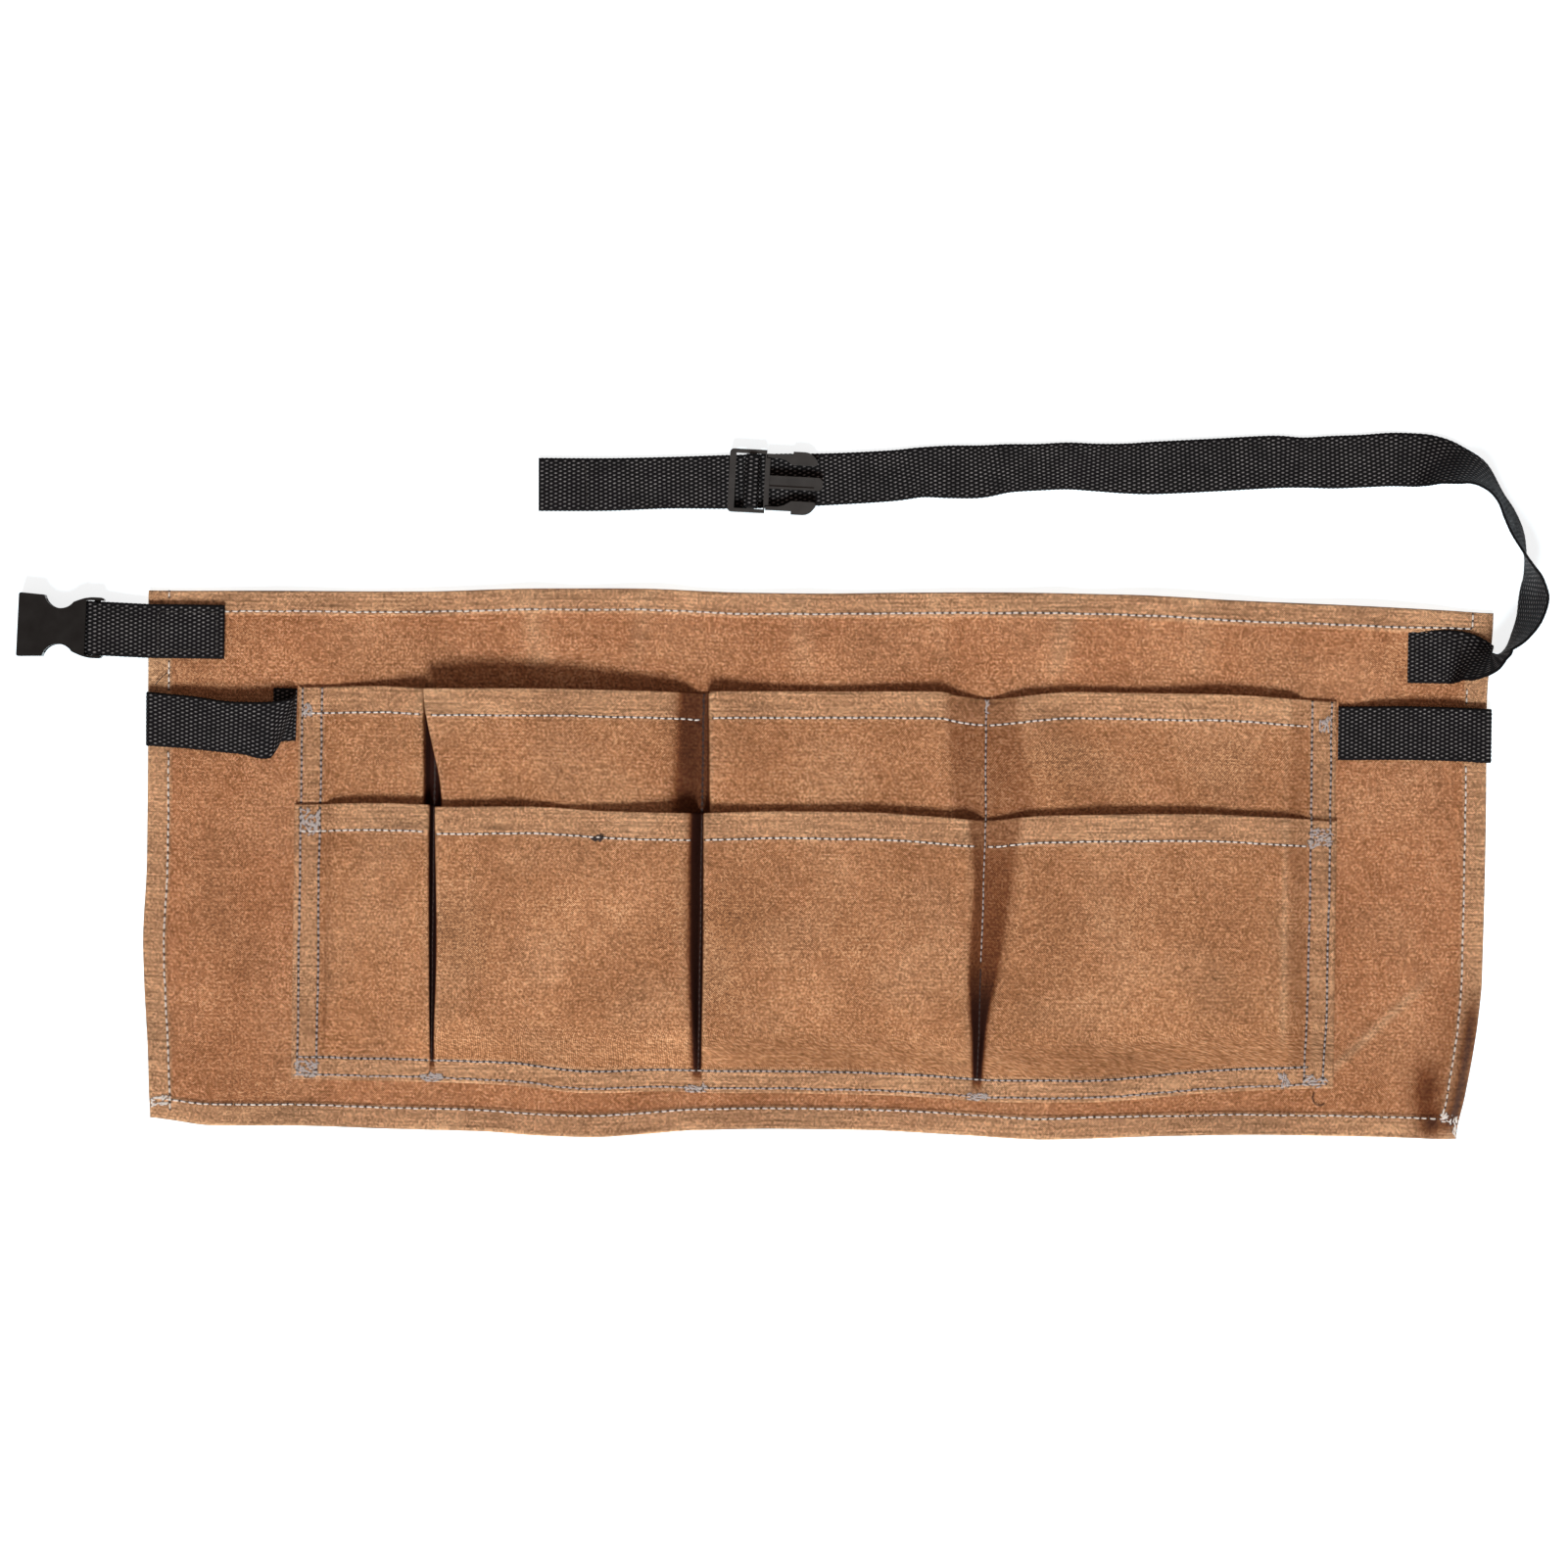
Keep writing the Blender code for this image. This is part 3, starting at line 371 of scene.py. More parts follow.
def add_object(name, data):
    obj = bpy.data.objects.new(name, data)
    bpy.context.scene.collection.objects.link(obj)
    return obj


def make_mesh(name, points, quads, materials, values=None, face_materials=None):
    """A smooth mesh object from points in millimetres and quads of point numbers."""
    mesh = bpy.data.meshes.new(name)
    mesh.vertices.add(len(points))
    mesh.vertices.foreach_set("co", (np.asarray(points) * MM).astype(np.float32).ravel())
    mesh.loops.add(quads.size)
    mesh.loops.foreach_set("vertex_index", quads.astype(np.int32).ravel())
    mesh.polygons.add(len(quads))
    mesh.polygons.foreach_set("loop_start", np.arange(0, quads.size, 4, dtype=np.int32))
    mesh.polygons.foreach_set("loop_total", np.full(len(quads), 4, np.int32))
    mesh.polygons.foreach_set("use_smooth", np.ones(len(quads), bool))
    for material in materials:
        mesh.materials.append(material)
    if face_materials is not None:
        mesh.polygons.foreach_set("material_index", face_materials.astype(np.int32))
    mesh.update(calc_edges=True)
    for key, value in (values or {}).items():
        kind = "FLOAT_VECTOR" if value.ndim == 2 else "FLOAT"
        layer = mesh.attributes.new(key, kind, "POINT")
        field = "vector" if kind == "FLOAT_VECTOR" else "value"
        layer.data.foreach_set(field, value.astype(np.float32).ravel())
    return add_object(name, mesh)


def shell(name, outer, inner, material, cloth, rub_and_sheen, shade):
    """A closed sheet between two grids of points, whose columns run along +X and rows along +Y."""
    rows, columns = outer.shape[:2]
    count = rows * columns
    index = np.arange(count).reshape(rows, columns)
    top = np.stack([index[:-1, :-1], index[:-1, 1:], index[1:, 1:], index[1:, :-1]], -1).reshape(-1, 4)
    sides = [
        (index[0, 1:], index[0, :-1]),
        (index[-1, :-1], index[-1, 1:]),
        (index[:-1, 0], index[1:, 0]),
        (index[1:, -1], index[:-1, -1]),
    ]
    rims = [np.stack([a, b, b + count, a + count], -1) for a, b in sides]
    quads = np.concatenate([top, top[:, ::-1] + count, *rims])
    points = np.concatenate([outer.reshape(-1, 3), inner.reshape(-1, 3)])
    values = {
        "cloth": np.tile(np.stack([cloth[0], cloth[1], cloth[0] * 0], -1).reshape(-1, 3), (2, 1)),
        "rub_and_sheen": np.tile(rub_and_sheen.ravel(), 2),
        "shade": np.tile(shade.ravel(), 2),
    }
    SURFACES[name] = (points, quads)
    return make_mesh(name, points, quads, [material], values)


def grid_normals(grid):
    along = np.gradient(grid, axis=1)
    up = np.gradient(grid, axis=0)
    normal = np.cross(along, up)
    return normal / np.maximum(np.linalg.norm(normal, axis=-1, keepdims=True), 1e-9)


def round_edge(distance, radius=0.8, least=0.22):
    """How much of its thickness cloth keeps this far from a folded edge."""
    near = 1 - np.clip(distance / radius, 0, 1)
    return np.maximum(np.sqrt(1 - near ** 2), least)


def settle(obj, body, slot, *nodes):
    """The piece rides on its body and stands for its CAD nodes."""
    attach(obj, body)
    if nodes:
        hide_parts(*nodes)
    return obj


# ---------------------------------------------------------------- apron panel

PANEL_LOW, PANEL_HIGH = box_mm("back_panel")
STRIP_LOW, STRIP_HIGH = box_mm("rear_pocket_strip")
FRONT_MOUTH_TOP = box_mm("front_pocket_strip")[1][1]
TOP_WAVE = Curve((-309, 1.0), (-259, 1.6), (-184, 2.3), (-134, 4.3), (-84, 5.0), (-34, 3.8), (-9, 3.8),
                 (41, 4.9), (91, 5.6), (141, 5.3), (191, 3.4), (241, 1.9), (291, 0.0), (311, -0.9))
BOTTOM_WAVE = Curve((-311, 2.2), (-303, 1.4), (-281, -1.1), (-240, -0.6), (-200, -1.4), (-156, -2.0),
                    (-131, -3.5), (-106, -4.1), (-81, -2.4), (-56, -0.2), (-10, 1.1), (19, 1.1),
                    (70, -0.7), (107, -2.3), (130, -1.6), (170, 0.2), (220, 1.4), (270, 1.2), (296, 0.8))
LEFT_WAVE = Curve((-123, 2.0), (-111, 1.3), (-93, 0.6), (-57, -1.7), (-38, -2.4), (-2, -1.1), (34, -1.2),
                  (123, -2.0))
RIGHT_WAVE = Curve((-123, -13.5), (-103, -9.7), (-84, -6.3), (-66, -3.8), (-48, -2.3), (25, -1.5), (79, -1.8),
                   (123, 0.6))
RIDGE = Curve((-123, 6.0), (-108, 8.5), (-85, 7.0), (-60, 3.6), (-34, 0.0))
# Upright creases as (x, width, height), and pale lines near the top as (x, lean, width, amount): painted
# highlights along crease ridges, partly rubbed wax.
PANEL_CREASES = ((-131, 13, 1.5), (-58, 9, -0.7), (-6, 15, 1.1), (110, 12, 1.7), (80, 10, -0.6),
                 (188, 20, 0.8))
PANEL_PALE_LINES = ((-132, 0.1, 5, 0.5), (-84, -0.2, 4, 0.3), (-8, 0.1, 6, 0.35), (56, 0.2, 4, 0.25),
              (112, -0.15, 5, 0.65), (176, 0.1, 6, 0.3))


def panel_warp(x, y):
    """The panel's flat rectangle drawn out to its real wavy outline."""
    along = (x - PANEL_LOW[0]) / (PANEL_HIGH[0] - PANEL_LOW[0])
    up = (y - PANEL_LOW[1]) / (PANEL_HIGH[1] - PANEL_LOW[1])
    moved_x = x + (1 - along) * LEFT_WAVE(y) + along ** 3 * RIGHT_WAVE(y)
    moved_y = y + (1 - up) ** 2 * BOTTOM_WAVE(x) + up ** 2 * TOP_WAVE(x)
    return moved_x, moved_y


def across_diagonal(x, y):
    """Distance from the crease that crosses the panel's bottom right corner."""
    return (x - 262) * 0.72 + (y + 74) * -0.69


def panel_relief(x, y):
    """How far the panel stands off the table: ripples at its edges and a curled bottom right corner."""
    outside = np.maximum.reduce([
        STRIP_LOW[0] - x, x - STRIP_HIGH[0], STRIP_LOW[1] - 7 - y, y - STRIP_HIGH[1] - 2,
    ])
    free = smooth((outside - 2) / 12)
    low_wave = smooth((-92 - y) / 25) * (0.9 + 0.9 * ripples(x, y, 95, 5, 0.3))
    high_wave = smooth((y - 86) / 30) * (0.8 + 0.8 * ripples(x, y, 110, 9, 0.3))
    creases = sum(bump(x, centre, width) * tall for centre, width, tall in PANEL_CREASES)
    creases = creases * (0.35 + 0.65 * smooth((np.abs(y) - 84) / 14))
    rest = 0.35 + 0.3 * ripples(x, y, 60, 21)
    diagonal = bump(across_diagonal(x, y), 0, 3.2) * smooth((x - 238) / 12) * smooth((294 - x) / 20)
    quiet = smooth((296 - np.abs(x)) / 14)
    relief = np.maximum(free * ((low_wave + high_wave) + creases + rest), 0)
    relief = relief * mix(0.35, 1.0, quiet) + 0.9 * diagonal * free
    from_right = PANEL_HIGH[0] - x
    rise = smooth((23 - from_right) / 14) * mix(1.0, 0.25, smooth((6.5 - from_right) / 6.5))
    return relief + RIDGE(y) * rise


def build_panel():
    """The back panel: its hem, ripples, pale lines (rubbed wax and painted highlights), and the rolled bottom
    right corner with painted shade in its dent, roll and tip.
    """
    xs = spaced(PANEL_LOW[0], PANEL_HIGH[0], 2.0, 12, 0.5)
    ys = spaced(PANEL_LOW[1], PANEL_HIGH[1], 2.0, 12, 0.5)
    x, y = np.meshgrid(xs, ys)
    inset = np.minimum.reduce([x - xs[0], xs[-1] - x, y - ys[0], ys[-1] - y])
    hem = smooth((HEM + 0.7 - inset) / 1.5)
    top = mix(FLAT, OVER_HEM, hem)
    bottom = UNDERSIDE + 0.5 * bump(inset, HEM, 0.45)
    keep = round_edge(inset, 0.9)
    middle = (OVER_HEM + UNDERSIDE) / 2
    top = np.where(inset < 0.9, middle + (top - middle) * keep, top)
    bottom = np.where(inset < 0.9, middle - (middle - bottom) * keep, bottom)
    pucker = 0.10 * np.sin(2 * math.pi * (x + y) / STITCH_PITCH) * bump(inset, STITCH_INSET, 1.2)
    groove = -0.16 * bump(inset, STITCH_INSET, 0.7)
    relief = panel_relief(x, y)
    px, py = panel_warp(x, y)
    outer = np.stack([px, py, top + relief + pucker * 0.5 + groove], -1)
    inner = np.stack([px, py, bottom + relief], -1)
    rub_and_sheen = 0.75 * hem + 0.5 * bump(inset, 0, 1.2) + 0.16 * np.clip(ripples(x, y, 70, 33), 0, 1)
    top_band = smooth((y - 82) / 10)
    # Painted highlights along the crease ridges near the top, partly standing for rubbed wax.
    for centre, lean, width, amount in PANEL_PALE_LINES:
        rub_and_sheen = rub_and_sheen + amount * bump(x + lean * (y - 100), centre, width) * top_band
    # Painted highlight along the diagonal crease at the bottom right corner, partly rubbed wax.
    rub_and_sheen = rub_and_sheen + 0.8 * bump(across_diagonal(x, y), 0, 2.3) * smooth((x - 236) / 12) * smooth((294 - x) / 20)
    # Painted shade at the curled bottom right corner: in the dent before it, along the rolled right edge and
    # at its tip.
    dent = bump((x - 291) / 7.0 + (y + 99) / 60, 0, 1.0) * bump(y, -100, 16)
    roll = bump(PANEL_HIGH[0] - x, 3.6, 4.2) * smooth((-44 - y) / 30) * smooth((y + 121) / 6)
    tip = bump(x, 298, 6) * bump(y, -116, 6)
    shade = np.clip(0.72 * dent + 0.85 * roll + 0.75 * tip, 0, 1)
    panel = shell("panel_cloth", outer, inner, PANEL_CANVAS, (x, y), np.clip(rub_and_sheen, 0, 1), shade)
    settle(panel, "apron", "panel_canvas", "back_panel")


# ---------------------------------------------------------------- pocket strips

BOTTOM_LINE = Curve((-243, -101.9), (-180, -102.4), (-142, -103.4), (-106, -106.6), (-68, -105.2),
                    (-54, -105.7), (-10, -105.3), (31, -105.6), (59, -106.8), (83, -108.2),
                    (126, -107.6), (181, -102.6), (209, -100.8), (240, -99.6))
REAR_MOUTH = Curve((-243, 80.3), (-205, 81.2), (-184.5, 80.4), (-182.5, 80.3), (-120, 80.9), (-66, 80.2),
                   (-54, 79.8), (-50, 80.8), (10, 81.6), (55, 82.2), (64, 80.4), (76.8, 79.1), (90, 80.3),
                   (118, 82.9), (188, 82.7), (216, 81.3), (240, 80.2))
FRONT_MOUTH = Curve((-245, 25.7), (-205, 26.9), (-181, 26.4), (-177.5, 25.6), (-134, 26.3), (-98, 24.6),
                    (-60, 24.2), (-53, 24.4), (-16, 25.7), (20, 25.8), (56, 24.0), (77, 22.8), (103, 25.2),
                    (177, 27.0), (218, 25.8), (240, 24.7))
SEAM_3 = Curve((-105, 74.6), (-75, 75.4), (-30, 76.0), (26, 77.0), (82, 76.8))
RIGHT_CREASE = 215.9
SEAM_LEFT = -229.4
SEAM_RIGHT = 226.3
SEAM_1 = -178.8
SEAM_2 = -54.6

# Each pocket: its left and right folds as (height up the apron, x), then the height of its face at five
# places across, low down and at its mouth, and the radii of its left and right folds.
REAR_POCKETS = (
    (Curve((-101, -226), (26, -225), (81, -224)),
     Curve((-101, -181.5), (-60, -184), (26, -184.2), (81, -185.2)),
     (3.4, 4.6, 5.8, 6.4, 7.0), (2.2, 2.8, 3.8, 5.2, 7.4), (5, 1.2)),
    (Curve((-101, -176.4), (-40, -173.8), (26, -174.2), (81, -183.9)),
     Curve((-101, -58), (-60, -62), (26, -67.5), (81, -66)),
     (8, 8.5, 8.5, 8, 7.2), (13.2, 16.6, 14.4, 10.6, 7.4), (1.2, 9)),
    (Curve((-101, -52), (-40, -49.6), (26, -50.4), (81, -51.6)),
     Curve((-101, 70), (-44, 64), (26, 60.4), (81, 55.3)),
     (7, 6.8, 6.4, 6.6, 6.2), (7.6, 4.6, 3.8, 4.8, 5.4), (1.2, 2.2)),
    (Curve((-101, 78.6), (-45, 88), (26, 103), (81, 93)),
     Curve((-101, 218), (-40, 217), (26, 217), (81, 217.7)),
     (6, 6.6, 6.6, 6.2, 4.8), (5.0, 3.8, 3.6, 6.4, 5.2), (4, 2.4)),
)
FRONT_POCKETS = (
    (Curve((-101, -227), (25, -225)),
     Curve((-101, -178.9), (-81, -179.5), (-44, -180.4), (25, -181.4)),
     (6.8, 8.6, 9.8, 10.8, 12.0), (6.2, 7.4, 8.8, 9.6, 11.4), (7, 1.4)),
    (Curve((-101, -177.3), (-81, -176.6), (-44, -175.6), (25, -177.3)),
     Curve((-101, -56.2), (-81, -57.4), (-43, -59.6), (25, -60.4)),
     (14.5, 14.6, 12.6, 13.4, 14.0), (15.8, 17.6, 14.6, 14.4, 14.2), (1.2, 5)),
    (Curve((-101, -53.4), (-81, -52.7), (-43, -52.5), (25, -53.2)),
     Curve((-104, 73.4), (-75, 71.4), (-44, 69.3), (1, 71.2), (25, 68)),
     (12.4, 11.0, 10.4, 11.6, 10.2), (11.6, 9.0, 8.6, 9.9, 9.4), (1.2, 2.6)),
    (Curve((-102, 76.2), (-75, 78.0), (-58, 80.4), (-46, 83.8), (-31, 87.2), (-12, 90.8), (7, 93.0),
           (25, 95.7)),
     Curve((-101, 218), (25, 216.5)),
     (9.4, 10.8, 10.6, 10.4, 8.6), (8.2, 9.4, 8.8, 10.2, 8.0), (4, 2.4)),
)
# How much painted shade the recess over the third seam gets, up the front strip.
THIRD_RECESS = Curve((-101, 1.0), (-62, 0.97), (-35, 0.62), (0, 0.5), (25, 0.40))
SEAM_PLACES = (SEAM_LEFT, SEAM_1, SEAM_2, 76.0, SEAM_RIGHT)


def recess_shade(x, rows, front):
    """How much painted shade the recess of the nearest seam gets, from 0 to 1."""
    if front:
        by_seam = (0.10, 1, 0.98, THIRD_RECESS(rows), 0.12)
    else:
        by_seam = (0.10, 1, 0.78, 0.34, 0.12)
    depths = np.stack([depth + 0 * rows for depth in by_seam])
    nearest = np.argmin(np.abs(x[..., None] - np.array(SEAM_PLACES)), -1)
    return depths[nearest, np.arange(len(rows))[:, None]]


def strip_section(y, pockets, sewn, foot, front):
    """Corners of the strip's section, row by row: x, height, corner radius and one in a recess."""
    ones = np.ones_like(y)
    none = 0 * ones
    floor = sewn * ones
    seams = [SEAM_LEFT * ones, SEAM_1 * ones, SEAM_2 * ones, SEAM_3(y), SEAM_RIGHT * ones]
    edge = smooth((y - STRIP_LOW[1] - 7) / 24) ** 0.75
    centre = smooth((y - STRIP_LOW[1] - 9) / 85) ** 0.8
    between = mix(edge, centre, 0.6)
    rise = (edge, between, centre, between, edge)
    toward_mouth = smooth((y + 45) / (70 if front else 120))
    sharp, round_face = 1.0, 30.0
    points = [(STRIP_LOW[0] * ones - (1.2 if front else 0), floor, sharp, none)]
    for number, (left, right, half_way, at_mouth, radii) in enumerate(pockets):
        faces = [mix(a, b, toward_mouth) for a, b in zip(half_way, at_mouth)]
        heights = [sewn + (face - sewn) * part for face, part in zip(faces, rise)]
        left_fold, right_fold = left(y), right(y)
        points.append((seams[number] + foot, floor, sharp, ones))
        points.append((left_fold, heights[0], radii[0], none))
        for place, height in zip((0.25, 0.5, 0.75), heights[1:4]):
            points.append((mix(left_fold, right_fold, place), height, round_face, none))
        points.append((right_fold, heights[4], radii[1], none))
        points.append((seams[number + 1] - foot, floor, sharp, ones))
    points.append((STRIP_HIGH[0] * ones + (0.8 if front else 0), floor, sharp, none))
    return points


def round_section(points):
    """Columns of (x, height, shade) along the section, with its corners rounded."""
    corners = [np.stack([x, z, shade], -1) for x, z, _, shade in points]
    radii = [radius for _, _, radius, _ in points]
    columns = []
    previous = corners[0]
    for i in range(1, len(corners)):
        a, b = corners[i - 1], corners[i]
        length = np.linalg.norm((b - a)[:, :2], axis=1, keepdims=True)
        if i < len(corners) - 1:
            c = corners[i + 1]
            onward = np.linalg.norm((c - b)[:, :2], axis=1, keepdims=True)
            enter = b + (a - b) * np.minimum(radii[i] / np.maximum(length, 1e-6), 0.48)
            leave = b + (c - b) * np.minimum(radii[i] / np.maximum(onward, 1e-6), 0.48)
        else:
            enter = leave = b
        typical = float(np.median(np.linalg.norm((enter - previous)[:, :2], axis=1)))
        steps = max(2, int(typical / 1.7))
        columns += [mix(previous, enter, step / steps) for step in range(steps)]
        if i < len(corners) - 1:
            steps = 5 if radii[i] < 4 else 9
            for step in range(steps):
                t = step / steps
                columns.append((1 - t) ** 2 * enter + 2 * t * (1 - t) * b + t * t * leave)
            previous = leave
        else:
            columns.append(b)
    return np.stack(columns, 1)


def build_strip(front, pockets, mouth_line, mouth_hem, sewn, foot, seed):
    """One pleated strip of four pockets: folds, hems, puckered rows, pale folds (rubbed wax and painted
    highlights) and painted shade in its recesses.
    """
    side = "front" if front else "rear"
    low = STRIP_LOW[1]
    mouth = FRONT_MOUTH_TOP if front else STRIP_HIGH[1]
    height = mouth - low
    fractions = np.concatenate([
        np.arange(0, 2, 0.4) / height, np.arange(2, height - 2, 1.7) / height,
        (height - np.array([2, 1.5, 1.0, 0.65, 0.4, 0.2, 0.08, 0])) / height,
    ])
    rows = low + fractions * height
    section = round_section(strip_section(rows, pockets, sewn, foot, front))
    x, z, shade = section[..., 0], section[..., 1], section[..., 2]
    share = fractions[:, None]
    y = mix(BOTTOM_LINE(x), mouth_line(x), share)
    arc = np.concatenate([np.zeros((len(rows), 1)), np.cumsum(np.hypot(np.diff(x), np.diff(z)), 1)], 1)
    raised = smooth((z - sewn - 1.5) / 5)
    soft = ripples(arc, y, 46, seed, 0.55) * 0.62 + ripples(arc, y, 21, seed + 1, 0.6) * 0.24
    z = z + raised * soft * (0.35 + 0.65 * smooth((mouth - 4 - y) / 14))
    grid = np.stack([x, y, z], -1)
    normal = grid_normals(grid)
    from_left = x - x[:, :1]
    from_right = x[:, -1:] - x
    from_side = np.minimum(from_left, from_right)
    from_bottom = share * height + 0 * x
    from_mouth = (1 - share) * height + 0 * x
    out = 0.45 + 0.4 * np.maximum(smooth((12.6 - from_side) / 0.9), smooth((12.2 - from_bottom) / 0.9))
    hem_step = smooth((mouth_hem + 0.9 - from_mouth) / 0.9)
    out = out + 0.16 * hem_step
    inward = 0.45 + 0.72 * hem_step * raised
    keep = round_edge(np.minimum.reduce([from_side, from_bottom, from_mouth]), 0.8)
    for inset, width in ((2.1, from_side), (10.9, from_side), (2.0, from_bottom), (10.3, from_bottom)):
        out = out - 0.14 * bump(width, inset, 0.6) * (from_side < 14 if width is from_side else 1)
    out = out - 0.18 * bump(from_mouth, mouth_hem, 0.6)
    outer = grid + normal * (out * keep)[..., None]
    inner = grid - normal * (inward * keep)[..., None]
    side_hem = 0.75 * smooth((12.6 - from_side) / 1.5)
    bottom_hem = 0.7 * smooth((12 - from_bottom) / 1.5)
    hems = np.maximum.reduce([hem_step * 0.65, side_hem, bottom_hem])
    # Paler cloth on hems and worn patches; the pale folds facing up, the right crease and the mouth lips are
    # partly painted highlights.
    turn = np.linalg.norm(np.gradient(normal, axis=1), axis=-1)
    fold = np.clip(turn * 3.5, 0, 1) * smooth((normal[..., 2] - 0.45) / 0.4)
    crease = bump(x, RIGHT_CREASE, 1.3) * raised * smooth((from_bottom - 4) / 12)
    lip = bump(from_mouth, 0, 1.0)
    worn = np.clip(ripples(arc, y, 55, seed + 7), 0, 1)
    rub_and_sheen = np.clip(hems + 0.45 * fold * raised + 0.7 * crease + 0.5 * lip + 0.2 * worn, 0, 1)
    # Painted shade in the recesses between the pockets, strongest at the seams' feet.
    deep = recess_shade(x, rows, front) * smooth(np.clip(shade, 0, 1) * 3.6) * smooth((from_bottom - 2) / 10)
    strip = shell(f"{side}_strip_cloth", outer, inner, POCKET_CANVAS, (arc, y), rub_and_sheen * (1 - deep), deep)
    settle(strip, "apron", "pocket_canvas", f"{side}_pocket_strip")


# ---------------------------------------------------------------- stitching

TREES = {}


def tree_of(*names):
    """A search tree over the faces of the named pieces of cloth."""
    if names not in TREES:
        points, quads, offset = [], [], 0
        for name in names:
            own_points, own_quads = SURFACES[name]
            points.append(own_points)
            quads.append(own_quads + offset)
            offset += len(own_points)
        TREES[names] = BVHTree.FromPolygons(np.concatenate(points).tolist(), np.concatenate(quads).tolist())
    return TREES[names]


def surface_at(tree, x, y, below=False):
    """Height and outward normal of the cloth at a place, seen from above or below."""
    start = Vector((x, y, -60 if below else 90))
    hit, normal, _, _ = tree.ray_cast(start, Vector((0, 0, 1 if below else -1)))
    if hit is None:
        return None, None
    if (normal.z < 0) != below:
        normal = -normal
    return hit.z, normal


STITCH_RINGS = ((-0.5, 0.10, -0.30), (-0.42, 0.75, 0.02), (-0.18, 1.0, 0.22), (0.18, 1.0, 0.22),
                (0.42, 0.75, 0.02), (0.5, 0.10, -0.30))
SIDES = 6


def capsule(start, end, normal, radius, flat=1.0):
    """Points and quads of one stitch lying on cloth, its ends sunk into their needle holes."""
    along = end - start
    across = normal.cross(along).normalized()
    points = []
    for place, size, lift in STITCH_RINGS:
        centre = start + along * (place + 0.5) + normal * (radius * lift * flat)
        for side in range(SIDES):
            angle = 2 * math.pi * side / SIDES
            offset = across * math.cos(angle) + normal * (math.sin(angle) * 0.8 * flat)
            points.append(centre + offset * (radius * size))
    quads = []
    for ring in range(len(STITCH_RINGS) - 1):
        for side in range(SIDES):
            a, b = ring * SIDES + side, ring * SIDES + (side + 1) % SIDES
            quads.append((a, b, b + SIDES, a + SIDES))
    return points, quads


def needle_hole_shade(centre, normal, radius):
    """A small, flat dark ring round the thread: painted shadow of the needle hole in the cloth."""
    side = normal.orthogonal().normalized()
    other = normal.cross(side)
    points = [centre + normal * 0.05]
    for step in range(8):
        angle = 2 * math.pi * step / 8
        points.append(centre + normal * 0.02 + (side * math.cos(angle) + other * math.sin(angle)) * radius)
    quads = [(0, 1 + step, 2 + step, 1 + (step + 2) % 8) for step in (0, 2, 4, 6)]
    return points, quads


